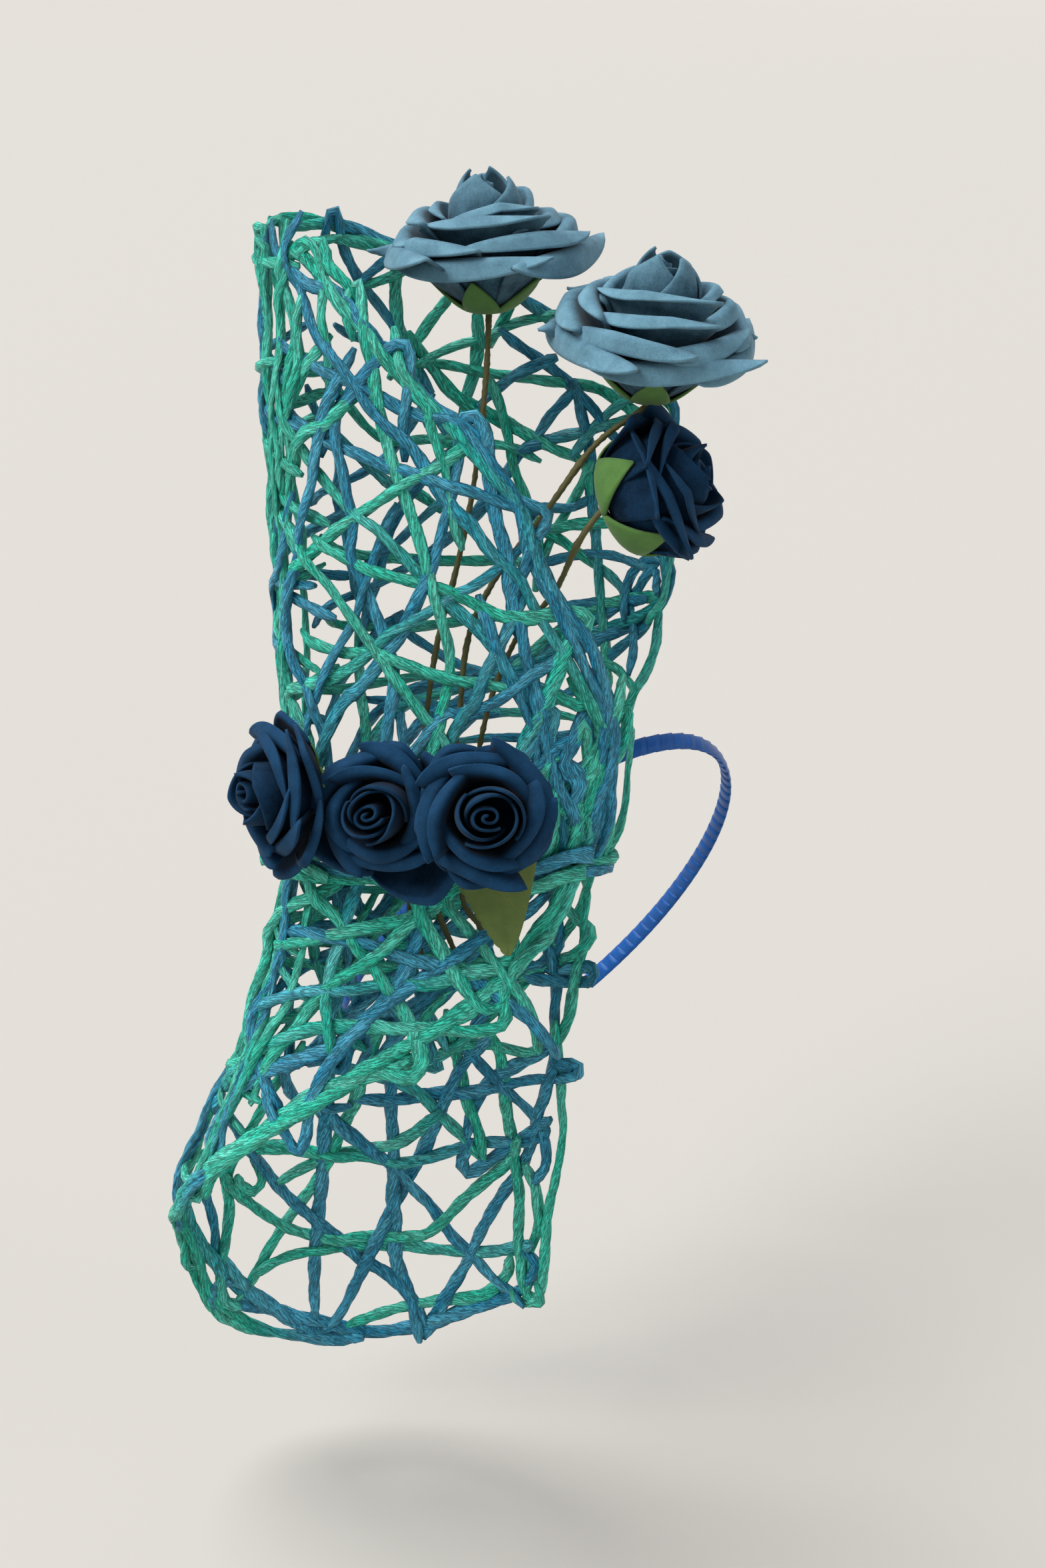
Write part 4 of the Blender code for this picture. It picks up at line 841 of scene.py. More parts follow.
def belts(first, last, low, high, count, lean, rng):
    """Lay cords along the wall, one above the other, where it closes in towards the waist."""
    runs = []
    for index in range(count):
        height = low + (high - low) * (index + rng.uniform(*LEVEL_VARY)) / count
        start, end = first + rng.uniform(0, BELT_ENDS), last - rng.uniform(0, BELT_ENDS)
        drop = rng.uniform(-lean, lean)
        rows = even_rows([(start + (end - start) * share,
                           height + drop * (share - 0.5) + rng.uniform(-BELT_STRAY, BELT_STRAY), 0)
                          for share in (0, 0.2, 0.4, 0.6, 0.8, 1)])
        dye = drifting_dye(len(rows), (2, 6), rng)
        runs.append((rows, rng.uniform(*BELT_WIDTHS), dye))
    return runs


def side_cords(low, high, count, rng):
    """Carry cords round the left side, from the near wall to the far one."""
    runs = []
    for index in range(count):
        start = low + (high - low) * (index + rng.uniform(*LEVEL_VARY)) / count
        end = min(max(start + rng.choice((-1, 1)) * rng.uniform(*SIDE_RISE), low), high)
        first, last = rng.uniform(*SIDE_NEAR), rng.uniform(*SIDE_FAR)
        rows = even_rows([(first + (last - first) * share,
                           start + (end - start) * share + rng.uniform(-SIDE_STRAY, SIDE_STRAY), out)
                          for share, out in SIDE_COURSE])
        runs.append((rows, rng.uniform(*SIDE_WIDTHS), np.full(len(rows), rng.choice(SIDE_DYES))))
    return runs


def crossings(first, second):
    """Where two unrolled cords cross, as the step of each."""
    a, b = first[:-1, None], second[None, :-1]
    u, v = (first[1:] - first[:-1])[:, None], (second[1:] - second[:-1])[None]
    cross = u[..., 0] * v[..., 1] - u[..., 1] * v[..., 0]
    cross = np.where(np.abs(cross) < 1e-9, 1e-9, cross)
    gap = b - a
    s = (gap[..., 0] * v[..., 1] - gap[..., 1] * v[..., 0]) / cross
    t = (gap[..., 0] * u[..., 1] - gap[..., 1] * u[..., 0]) / cross
    return np.argwhere((s >= 0) & (s < 1) & (t >= 0) & (t < 1))


def weave_layers(runs, rng):
    """Pass each cord over or under every cord it crosses, and return the finished cords."""
    flats = [np.stack([rows[:, 0] * TURN_WIDTH, rows[:, 1]], -1) for rows, _, _ in runs]
    boxes = [(flat.min(0), flat.max(0)) for flat in flats]
    wishes = [[] for _ in runs]
    for i in range(len(runs)):
        for j in range(i + 1, len(runs)):
            if (boxes[i][0] > boxes[j][1]).any() or (boxes[j][0] > boxes[i][1]).any():
                continue
            for k, m in crossings(flats[i], flats[j]):
                near = [level for spot, level in wishes[i] if abs(spot - k) < LAYER_APART]
                over = -near[0] if near else rng.choice((-1, 1))
                wishes[i].append((k, over))
                wishes[j].append((m, -over))
    cords = []
    for (rows, half_width, dye), wish in zip(runs, wishes):
        spots = np.arange(len(rows))
        pull, weight = np.zeros(len(rows)), np.full(len(rows), LAYER_CALM)
        for spot, level in wish:
            near = np.exp(-((spots - spot) / LAYER_REACH) ** 2)
            pull += near * level
            weight += near
        free = np.clip((np.abs(rows[:, 1] - WAIST_HEIGHT) - BELLY_CALM[0]) / BELLY_CALM[1], 0, 1)
        belly = sum(size * np.sin(rows[:, 1] / rise + rows[:, 0] / round_wall + start)
                    for size, rise, round_wall, start in BELLY_WAVES)
        outward = rows[:, 2] + LAYER * pull / weight + (BELLY * belly - BELLY_INSET) * free
        phase, waver = rng.uniform(0, 60), rng.uniform(*CORD_WAVER)
        breadth = half_width * (1 + waver * np.sin(spots / CORD_WAVER_RUNS[0] + phase)
                                + 0.6 * waver * np.sin(spots / CORD_WAVER_RUNS[1] + 2 * phase))
        from_end = np.minimum(spots, spots[::-1]) * CORD_STEP
        breadth = breadth * np.clip(CORD_END + from_end / CORD_END_RUN, 0, 1)
        press = CORD_PRESS + CORD_PRESS_SWING * np.sin(spots / CORD_PRESS_RUN + phase * 3)
        press = np.clip(press, *CORD_PRESS_LIMITS)
        laid = np.stack([rows[:, 0], rows[:, 1], outward], -1)
        cords.append(wall_cord(laid, breadth, press, dye, False))
    return cords


def rim_bundle(rim, first, last, count, spread, rng):
    """Lay a loose rope of cords along a stretch of a free edge."""
    angles = np.arange(first, last, BUNDLE_STEP)
    height = rim_height(rim, angles)
    heights = np.convolve(np.pad(height, 3, mode="edge"), np.ones(7) / 7, mode="valid")
    runs = []
    for index in range(count):
        phase = math.tau * index / count + rng.uniform(-0.4, 0.4)
        turn = np.radians(angles) * rng.uniform(*BUNDLE_TWIST) + phase
        rows = np.stack([angles + rng.uniform(-BUNDLE_STRAY, BUNDLE_STRAY), heights + spread * np.cos(turn),
                         BUNDLE_FLAT * spread * np.sin(turn)], -1)
        rows = even_rows(rows[::3])
        dye = drifting_dye(len(rows), (3, 8), rng)
        runs.append((rows, rng.uniform(*BUNDLE_WIDTHS), dye))
    return runs


SCOOP_MOUTH = ((0, -70), (180, -96), (350, -112))
rng = random.Random(14)
upper = charted(UPPER_NEAR, UPPER_CHART, -1, UPPER_WIDTH, UPPER_TIED)
upper += charted(UPPER_FAR, UPPER_CHART, 1, UPPER_WIDTH, UPPER_TIED)
upper += belts(190, 346, low=14, high=40, count=3, lean=12, rng=rng)
upper += side_cords(low=16, high=194, count=11, rng=rng)
upper += woven(MOUTH_RIM, WAIST_HEIGHT, 156, 208, spacing=17, leans=(8, 22), rng=rng)
upper += rim_bundle(MOUTH_RIM, 196, 338, count=2, spread=1.8, rng=rng)
upper_cords = weave_layers(upper, rng)
lower = charted(LOWER_NEAR, LOWER_CHART, -1, LOWER_WIDTH, LOWER_TIED)
lower += charted(LOWER_FAR, LOWER_CHART, 1, LOWER_WIDTH, LOWER_TIED)
lower += woven(SCOOP_MOUTH, WAIST_HEIGHT - WAIST_GAP, 190, 350, spacing=36, leans=(35, 75), rng=rng)
lower += belts(190, 346, low=-70, high=-30, count=3, lean=20, rng=rng)
lower += side_cords(low=-138, high=-40, count=6, rng=rng)
lower += woven(SCOOP_RIM, WAIST_HEIGHT - WAIST_GAP, 146, 210, spacing=16, leans=(8, 22), rng=rng)
lower += rim_bundle(SCOOP_RIM, 148, 262, count=2, spread=1.6, rng=rng)
lower_cords = weave_layers(lower, rng)
cord_sizes = {"Lobes": float(CORD_LOBES), "Lobe Depth": CORD_LOBE_DEPTH, "Twist Length": CORD_TWIST * MM,
              "Profile Points": CORD_PROFILE, "Material": paper}


def lay_cords(name, cords, sizes, slot, *nodes):
    """Lay cords as one piece."""
    add_piece(name, grow_mesh(name, cord_lines(name + "_lines", cords), cord_lay, sizes), slot, *nodes)


lay_cords("upper_net", upper_cords, cord_sizes, "paper_cord", "upper_lattice")
lay_cords("lower_net", lower_cords, cord_sizes, "paper_cord", "lower_lattice")

# Waist tie: two turns of the same cord, wound round the pinched waist and pulled flat.
# Three short cut ends of it stick out at the sides.
WAIST_TURNS = 2
WAIST_LIFT = 4.6
WAIST_PITCH = 2.6
WAIST_HALF_WIDTH = 1.8
WAIST_END_WIDTHS = (1.9, 2.4)
WAIST_PRESS, WAIST_END_PRESS = 0.30, 0.62
WAIST_ANGLES = np.arange(0, 360, 5.0)
WAIST_END_POINTS = 12
WAIST_ENDS = (
    ((132, -16, 3), (146, -13, 3), (158, -12, 5), (168, -13, 9)),
    ((72, -15, 3), (58, -10, 3.5), (47, -7, 4), (38, -8, 4.5)),
    ((78, -16, 4), (62, -18, 4), (50, -15, 4), (40, -14, 4.5)),
)
rounds = []
for index in range(WAIST_TURNS):
    heights = WAIST_HEIGHT + WAIST_LIFT * np.sin(np.radians(WAIST_ANGLES)) + WAIST_PITCH * (index - 0.5)
    rows = np.stack([WAIST_ANGLES, heights + np.sin(np.radians(WAIST_ANGLES * 2 + 90 * index)),
                     1.5 * np.sin(np.radians(WAIST_ANGLES * 3 + 120 * index))], -1)
    dye = 0.5 + 0.5 * np.cos(np.radians(WAIST_ANGLES + 170 * index))
    rounds.append(wall_cord(rows, WAIST_HALF_WIDTH, WAIST_PRESS, dye, True))
for index, rows in enumerate(WAIST_ENDS):
    rows = smooth_rows(rows, WAIST_END_POINTS)
    breadth = np.linspace(*WAIST_END_WIDTHS, WAIST_END_POINTS)
    rounds.append(wall_cord(rows, breadth, WAIST_END_PRESS, index % 2 * 0.9, False))
lay_cords("waist_tie", rounds, cord_sizes, "waist_cord", "waist_cord")

# Stems: the three tall roses and two of the waist roses stand on olive cloth-covered wire.
# The wires run down inside the mouth and are tied in behind the waist.
STEM_RADIUS = 1.15
STEM_NECK = 4.0
WAIST_CORD_RADIUS = 3.0
FIT_GAP = 0.3
SEAT_GAP = 0.8
WALL_THICKNESS = 4.6
STEM_POINTS, STUB_POINTS = 70, 10
STEM_KNOT = 20
STEM_WAVE, STEM_KNOT_SIZE, STEM_KNOT_REACH = 0.08, 0.35, 1.2
STEM_PROFILE, STEM_LOBES, STEM_LOBE_DEPTH, STEM_TWIST = 12, 3.0, 0.04, 14.0
WIRE_STREAKS, WIRE_STRETCH = 1.6, 260.0
WIRE_RELIEF = 0.0003
Rose = namedtuple("Rose", "name foot seat facing reach length spin tint shape stub hang")
ROSES = (
    Rose("rose_top", (-12, 9, 175), None, (-0.03, -0.04, 1.0), 38.0, 48.0, 10, "light", "light", 0, 0),
    Rose("rose_right", (42.5, -29, 151), None, (0.08, -0.22, 1.0), 38.0, 51.0, 40, "light", "light", 0, 0),
    Rose("rose_side", (30.5, -37, 114), None, (0.93, -0.26, 0.42), 27.5, 42.0, 0, "navy", "cup", 0, 0),
    Rose("rose_waist_left", None, (136, 18), (-0.88, -0.46, 0.10), 24.0, 30.0, 20, "navy", "open", 4.0, 0.1),
    Rose("rose_waist_middle", None, (110, 14), (-0.22, -0.94, 0.24), 21.5, 34.0, 60, "navy", "open", 0, 0.6),
    Rose("rose_waist_right", None, (84, 17), (0.06, -0.94, 0.32), 22.5, 36.0, 30, "navy", "open", 14.0, 0),
)
Stem = namedtuple("Stem", "rose waist_angle route end")
STEMS = (
    Stem("rose_top", 104, ((-13, -3, 150), (-17, -22, 118), (-23, -33, 91), (-30, -42, 65), (-35, -49, 30)),
         (-36, -50, -50)),
    Stem("rose_right", 94, ((25, -25, 133), (8, -31, 111), (-10, -38, 88), (-19, -42, 68), (-23, -48, 34)),
         (-24, -50, -48)),
    Stem("rose_side", 84, ((19, -36, 101), (11, -37, 84), (-3, -38, 66), (-14, -46, 36)), (-15, -48, -38)),
)
OLIVE = (0.150, 0.145, 0.055, 1)
OLIVE_DARK = (0.072, 0.068, 0.028, 1)


def rose_foot(rose):
    """Where a rose stands: its own place, or a crossing of the net with its stub of wire."""
    if rose.foot:
        return np.array(rose.foot, float)
    return wall_points(*rose.seat, WALL_THICKNESS / 2 + SEAT_GAP + rose.stub)


def unit(vector):
    vector = np.array(vector, float)
    return vector / np.linalg.norm(vector)


wire_cover, tree, shader = new_material("covered_wire", roughness=0.7, specular_ior_level=0.3)
weave = creased_skin(tree, WIRE_STREAKS, WIRE_STRETCH).outputs["Streak"]
tree.links.new(mix_colours(tree, weave, OLIVE_DARK, OLIVE), shader.inputs["Base Color"])
add_bump(tree, shader, weave, 0.5, WIRE_RELIEF)


def wire(line, radius):
    return Cord(line, np.tile((0.0, -1.0, 0.0), (len(line), 1)), radius, 0.0, 0.0, False)


wires = []
by_name = {rose.name: rose for rose in ROSES}
spots = np.arange(STEM_POINTS)
knots = STEM_KNOT_SIZE * np.exp(-((spots - STEM_KNOT) / STEM_KNOT_REACH) ** 2)
knuckles = 1 + STEM_WAVE * np.sin(spots * 0.9) + knots
for stem in STEMS:
    rose = by_name[stem.rose]
    foot, facing = rose_foot(rose), unit(rose.facing)
    waist = wall_points(stem.waist_angle, WAIST_HEIGHT, -(WAIST_CORD_RADIUS + STEM_RADIUS + FIT_GAP))
    route = [foot + facing * 1.5, foot - facing * STEM_NECK, *stem.route, waist, stem.end]
    wires.append(wire(smooth_rows(route, STEM_POINTS), STEM_RADIUS * knuckles))
for rose in ROSES:
    if rose.stub:
        foot, facing = rose_foot(rose), unit(rose.facing)
        root = wall_points(*rose.seat, 0.0)
        wires.append(wire(smooth_rows([root, (root + foot) / 2, foot + facing], STUB_POINTS), STEM_RADIUS))
stem_sizes = {"Lobes": STEM_LOBES, "Lobe Depth": STEM_LOBE_DEPTH, "Twist Length": STEM_TWIST * MM,
              "Profile Points": STEM_PROFILE, "Material": wire_cover}
lay_cords("wire_stems", wires, stem_sizes, "stem_wire",
          "stem_top", "stem_right", "stem_side", "rose_waist_left_stub", "rose_waist_right_stub")

# Roses: petals stamped from thin foam sheet, cupped by heat, their lips rolled back over a rod.
# They are glued ring by ring round a rolled bud, and a star of green foam closes the underside.
PETAL_THICKNESS = 1.0
Ring = namedtuple("Ring", "petals half_angle reach rise roll point twist")
PETAL_RINGS = {
    "light": (Ring(5, 50, 1.00, 0.44, 4.6, 0.03, 0), Ring(5, 48, 0.91, 0.58, 4.0, 0.07, 36),
              Ring(4, 58, 0.74, 0.68, 3.4, 0.10, 15), Ring(3, 74, 0.54, 0.76, 2.6, 0.10, 60)),
    "open": (Ring(5, 44, 1.12, 0.34, 2.6, 0.26, 20), Ring(5, 50, 1.00, 0.45, 4.4, 0.04, 0),
             Ring(4, 60, 0.80, 0.58, 3.6, 0.09, 36)),
    "cup": (Ring(5, 48, 0.98, 0.50, 3.6, 0.10, 0), Ring(5, 50, 0.88, 0.62, 3.6, 0.05, 36),
            Ring(4, 60, 0.72, 0.72, 3.2, 0.12, 15)),
}
BOWLS = {"light": ((0.29, -0.09), (0.55, 0.56)), "open": ((0.70, -0.04), (0.90, 0.42)),
         "cup": ((0.86, -0.04), (0.98, 0.34))}
FOLD_SKIRT = 6.6
BUD_WRAPS = {"light": ((0, 0.99, 0.31), (100, 0.98, 0.33), (190, 0.96, 0.355), (290, 0.93, 0.38)),
             "navy": ((0, 0.92, 0.44), (100, 0.90, 0.49), (200, 0.87, 0.54), (290, 0.84, 0.58))}
BUD_DOME = {"light": 0.42, "navy": 0.66}
BUD_SPIRAL = {"light": 1.1, "navy": 3.2}
BUD_OVAL = 0.07
BUD_HEART = {"light": (0.13, 0.54), "navy": (0.25, 0.48)}
SEPAL_REACH = {"light": 0.74, "cup": 1.0, "open": 0.6}
PETAL_ACROSS, PETAL_UP, PETAL_BODY = 22, 20, 10
BUD_GRID, HEART_GRID, SEPAL_GRID = (30, 16), (54, 8), (8, 12)
SEPAL_COUNT = 5
SEPAL_THICKNESS = 0.8
FULL_REACH, FULL_ROLL, SCALE_LEAST = 38.0, 4.6, 0.35
LIP_REACH, LIP_FOLD = 0.91, 1.3
PETAL_GROW, PETAL_LIFT = (0.95, 1.04), (0.94, 1.06)
FOLD_VARY, SKIRT_VARY = (0.9, 1.1), (0.85, 1.15)
PETAL_CURL = (88, 118)
PETAL_POINT, POINT_FULL, PEAK_OFF = (0.4, 1.5), 0.12, 0.35
CURL_SHARE, LIP_DROOP, BODY_LIGHT_RISE = 0.55, 0.35, 0.45
PETAL_SWAY = (0.5, 1.3)
PETAL_TILT_OUT, PETAL_TILT_UP = 2.8, 1.7
FOLD_LEAST = 0.30
HANG_DROP, HANG_POINT = 0.4, 0.4
BUD_FOOT, BUD_SHOULDER, BUD_TURN, BUD_LEAN = 0.28, 0.60, 200, 0.9
BUD_PEAK, BUD_FALL, BUD_FALL_CURVE = 0.42, 0.80, 1.35
HEART_FOOT, HEART_TURN, HEART_OVAL = 0.4, 600, 2.2
SEPAL_FOOT, SEPAL_WIDEST, SEPAL_HALF_ANGLE, SEPAL_CLEAR = (3.0, 0.0), 0.40, 37, 0.9
FOAM_GRAIN, FOAM_CLOUD, FOAM_RELIEF = 1500.0, 130.0, 0.00018
LIP_STRETCH_AND_LIGHT_MIX, MOTTLE_MIX, SPECKLE_MIX = 0.78, (1.1, -0.52), (0.7, -0.35)
LIGHT_SHINE, NAVY_SHINE, GREEN_SHINE = 0.09, 0.03, 0.1
# Each foam has a body colour in painted shade and a lip colour that is lit: the blend between them paints shade
# deep in the rose and a highlight on the rolled lips, on top of the foam's own paleness where stretched.
LIGHT_FOAM_SHADED = (0.011, 0.048, 0.080, 1)
LIGHT_LIP_STRETCHED_AND_LIT = (0.128, 0.275, 0.362, 1)
NAVY_FOAM_SHADED = (0.0009, 0.0062, 0.0165, 1)
NAVY_LIP_STRETCHED_AND_LIT = (0.0085, 0.046, 0.108, 1)
SEPAL_GREEN = (0.095, 0.215, 0.050, 1)
SEPAL_SHADE = (0.045, 0.120, 0.028, 1)

foam_grain, source, result = new_tree(
    "foam_grain", "ShaderNodeTree", (("Place", "Vector"), ("Grain", "Float"), ("Cloud", "Float")),
    (("Speckle", "Float"), ("Mottle", "Float")))
speckle = add_node(foam_grain, "ShaderNodeTexNoise",
                   {"Vector": source["Place"], "Scale": source["Grain"], "Detail": 3.0, "Roughness": 0.7})
mottle = add_node(foam_grain, "ShaderNodeTexNoise",
                  {"Vector": source["Place"], "Scale": source["Cloud"], "Detail": 4.0, "Roughness": 0.6})
foam_grain.links.new(speckle.outputs[0], result["Speckle"])
foam_grain.links.new(mottle.outputs[0], result["Mottle"])


def foam(name, body, lip, shine):
    """Foam sheet: fine speckle, soft mottling, and a blend by the lip mark from the shaded body colour to the
    lit lip colour: painted shade deep in the cup, and on the rolled lips a painted highlight over the foam's
    own paleness where it was stretched.
    """
    material, tree, shader = new_material(name, roughness=0.75, sheen_weight=shine, sheen_roughness=0.45,
                                          specular_ior_level=shine * 2)
    place = add_node(tree, "ShaderNodeTexCoord").outputs["Object"]
    grain = add_node(tree, "ShaderNodeGroup", {"Place": place, "Grain": FOAM_GRAIN, "Cloud": FOAM_CLOUD},
                     node_tree=foam_grain)
    # Painted light: the lip mark lifts the colour from the shaded body colour towards the lit lip colour.
    stretch = add_math(tree, "MULTIPLY", read_attribute(tree, "lip").outputs["Fac"], LIP_STRETCH_AND_LIGHT_MIX)
    cloudy = add_math(tree, "MULTIPLY_ADD", grain.outputs["Mottle"], *MOTTLE_MIX)
    share = add_math(tree, "ADD", add_math(tree, "ADD", stretch, cloudy),
                     add_math(tree, "MULTIPLY_ADD", grain.outputs["Speckle"], *SPECKLE_MIX))
    share = add_node(tree, "ShaderNodeClamp", {0: share}).outputs[0]
    tree.links.new(mix_colours(tree, share, body, lip), shader.inputs["Base Color"])
    add_bump(tree, shader, grain.outputs["Speckle"], 0.5, FOAM_RELIEF)
    return material


FOAMS = {"light": foam("light_blue_foam_sheet", LIGHT_FOAM_SHADED, LIGHT_LIP_STRETCHED_AND_LIT, LIGHT_SHINE),
         "navy": foam("navy_foam_sheet", NAVY_FOAM_SHADED, NAVY_LIP_STRETCHED_AND_LIT, NAVY_SHINE)}
sepal_foam = foam("green_foam_sheet", SEPAL_SHADE, SEPAL_GREEN, GREEN_SHINE)
FOAM_SLOTS = {"light": "light_blue_foam", "navy": "navy_foam"}


def meridian(start, end, bowl, t):
    """The cupped line of a petal at a share t of its way from foot to lip, as (out, up), with its heading."""
    a, d = np.array(start), np.array(end)
    b, c = a + (d - a) * bowl[0], a + (d - a) * bowl[1]
    spot = a * (1 - t) ** 3 + 3 * b * t * (1 - t) ** 2 + 3 * c * t * t * (1 - t) + d * t ** 3
    heading = 3 * (b - a) * (1 - t) ** 2 + 6 * (c - b) * t * (1 - t) + 3 * (d - c) * t * t
    return spot, math.atan2(heading[1], heading[0])


def outer_lip(ring, rose):
    """Where the outer petals start to fold over, and how large their foam is for its rose."""
    scale = SCALE_LEAST + (1 - SCALE_LEAST) * rose.reach / FULL_REACH
    lip_out = rose.reach * ring.reach * LIP_REACH - LIP_FOLD * ring.roll * scale
    return (lip_out, rose.length * ring.rise), scale


def round_axis(out, turn, up):
    """A point by its distance from the rose's axis, its turn round it and its height along it."""
    return out * math.cos(turn), out * math.sin(turn), up


def sheet(across, up, spot):
    """A sheet as a grid: spot(u, v) gives a point and its lip mark, the share of the lit colour over the shaded
    one: painted light and shade, with the foam's own paleness where it was stretched.
    """
    cells = [spot(i / across, j / up) for i in range(across + 1) for j in range(up + 1)]
    return [point for point, _ in cells], [lip for _, lip in cells], across + 1, up + 1


def petal_sheet(ring, azimuth, rose, rng, hang):
    """One petal as a grid round the rose's axis: a cupped body whose straight lip is folded back."""
    (lip_out, lip_up), scale = outer_lip(ring, rose)
    grow, lift = rng.uniform(*PETAL_GROW) + hang, rng.uniform(*PETAL_LIFT) * (1 - HANG_DROP * hang)
    fold = ring.roll * scale * rng.uniform(*FOLD_VARY)
    skirt = FOLD_SKIRT * scale * (ring.roll / FULL_ROLL) ** 1.8 * rng.uniform(*SKIRT_VARY)
    curl = math.radians(rng.uniform(*PETAL_CURL))
    foot = (3.0 + 1.2 * ring.rise, 1.0 + 14.0 * scale * (ring.rise - 0.43))
    peak = rng.uniform(-PEAK_OFF, PEAK_OFF)
    point = ring.point * rng.uniform(*PETAL_POINT) + HANG_POINT * hang
    blend = min(1.0, point / POINT_FULL)
    sway, phase, tip = rng.uniform(*PETAL_SWAY) * scale, rng.uniform(0, math.tau), rng.uniform(-0.05, 0.05)
    grid, lips = [], []
    for i in range(PETAL_ACROSS + 1):
        u = 2 * i / PETAL_ACROSS - 1
        away = abs(u - peak) / (1 + abs(peak))
        taper = max(0.0, 1 - abs(u) ** 2.2) ** 0.6
        straight = 1.0 / math.cos(math.radians(0.74 * ring.half_angle * u))
        width = straight * (1 - blend) + (1 + 0.6 * point - 0.9 * point * away) * blend
        end = (lip_out * grow, lip_up * lift * (1 + tip * u))
        splay = lip_out * grow * (width - 1) + 1.1 * fold * (1 - taper)
        top = 1 - 0.05 * abs(u) ** 2.4 - point * away
        column, shades = [], []
        for j in range(PETAL_BODY + 1):
            spot, heading = meridian(foot, end, BOWLS[rose.shape], top * j / PETAL_BODY)
            spot = spot + (splay * (j / PETAL_BODY) ** 3, 0.0)
            column.append(spot)
            # Painted shade: the body is darkest at its foot, deep in the cup, and lightens towards the fold.
            shades.append(BODY_LIGHT_RISE * (j / PETAL_BODY) ** 2)
        fullness = FOLD_LEAST + (1 - FOLD_LEAST) * taper
        turned = curl * fullness
        length = skirt * fullness + turned * 0.5 * fold
        for j in range(PETAL_UP - PETAL_BODY):
            share = (j + 0.5) / (PETAL_UP - PETAL_BODY)
            now = heading - turned * min(1.0, share / CURL_SHARE) - LIP_DROOP * share
            spot = spot + length / (PETAL_UP - PETAL_BODY) * np.array((math.cos(now), math.sin(now)))
            column.append(spot)
            # Painted highlight on the rolled lip, over the foam's own paleness where it was stretched.
            shades.append(0.5 + 0.5 * min(1.0, 1.6 * share))
        for j, (out, up) in enumerate(column):
            share = j / PETAL_UP
            out += PETAL_TILT_OUT * scale * u * share + sway * share * share * math.sin(3.2 * u + phase)
            up += sway * share * share * math.cos(2.6 * u + phase) + PETAL_TILT_UP * scale * u * share
            grid.append(round_axis(out, math.radians(azimuth + ring.half_angle * u), up))
            lips.append(shades[j])
    return grid, lips, PETAL_ACROSS + 1, PETAL_UP + 1


def oval_out(out, turn, share=1.0):
    """A rolled bud is never quite round."""
    return out * (1 + share * BUD_OVAL * math.cos(2 * turn + BUD_LEAN))


def bud_sheet(azimuth, top, girth, rose):
    """One wrap of the bud: a sheet wound round the axis, its edge running up slantwise to a point."""
    def spot(u, v):
        edge = top * (1 - BUD_FALL * abs(u - BUD_PEAK) ** BUD_FALL_CURVE)
        turn = math.radians(azimuth + BUD_TURN * u)
        height = BUD_FOOT + (edge - BUD_FOOT) * v
        bulge = math.sqrt(max(0.05, 1 - (max(0.0, height - BUD_SHOULDER) / BUD_DOME[rose.tint]) ** 2.3))
        out = (rose.reach * girth * bulge - BUD_SPIRAL[rose.tint] * u - 0.8) * min(1.0, 4 * v)
        # The lip mark paints shade low inside the wrap and light towards its top edge.
        return round_axis(oval_out(out, turn), turn, height * rose.length), 0.1 + 0.55 * v * v
    return sheet(*BUD_GRID, spot)


def scroll_sheet(azimuth, rose):
    """The heart of the bud: a strip rolled up tight, its spiral edge showing at the top."""
    girth, top = BUD_HEART[rose.tint]

    def spot(u, v):
        turn = math.radians(azimuth + HEART_TURN * u)
        out = (0.5 + rose.reach * girth * u - 0.8 * u * v * v) * min(1.0, 3 * v)
        height = HEART_FOOT + (top - 0.07 * u + 0.02 * math.sin(9 * u)) * v
        # The lip mark paints shade low inside the scroll and light towards its top edge.
        return round_axis(oval_out(out, turn, HEART_OVAL), turn, height * rose.length), 0.1 + 0.5 * v ** 3
    return sheet(*HEART_GRID, spot)


def sepal_sheet(azimuth, rose, rng):
    """One pointed sepal, lying close under the outer petals."""
    length = SEPAL_REACH[rose.shape] * rng.uniform(0.95, 1.03)
    end, _ = outer_lip(PETAL_RINGS[rose.shape][0], rose)

    def spot(u, v):
        (out, height), _ = meridian(SEPAL_FOOT, end, BOWLS[rose.shape], v * length)
        narrowing = max(0.0, (v - SEPAL_WIDEST) / (1 - SEPAL_WIDEST))
        half = SEPAL_HALF_ANGLE * (1 - narrowing) + 1
        turn = math.radians(azimuth + half * (2 * u - 1))
        return round_axis(out + 0.6 + SEPAL_CLEAR * v, turn, height - SEPAL_CLEAR), 0.5 + 0.4 * v
    return sheet(*SEPAL_GRID, spot)


def sheets_mesh(name, sheets, place, thickness, material):
    """Join sheets into one mesh in the part's frame and give them their thickness."""
    spots, faces, lips = [], [], []
    for grid, lip, columns, rows in sheets:
        start = len(spots)
        spots.extend(tuple(place @ Vector(spot)) for spot in grid)
        lips.extend(lip)
        for i in range(columns - 1):
            for j in range(rows - 1):
                a = start + i * rows + j
                faces.append((a, a + rows, a + rows + 1, a + 1))
    mesh = bpy.data.meshes.new(name)
    mesh.from_pydata([tuple(p) for p in placed(spots)], [], faces)
    mesh.attributes.new("lip", "FLOAT", "POINT").data.foreach_set("value", lips)
    mesh.polygons.foreach_set("use_smooth", [True] * len(faces))
    mesh.materials.append(material)
    carrier = bpy.data.objects.new(name, mesh)
    bpy.context.scene.collection.objects.link(carrier)
    wall = carrier.modifiers.new("thickness", "SOLIDIFY")
    wall.thickness = thickness * MM
    wall.offset = 0.0
    thick = bpy.data.meshes.new_from_object(carrier.evaluated_get(bpy.context.evaluated_depsgraph_get()))
    bpy.data.objects.remove(carrier)
    thick.name = name
    return thick


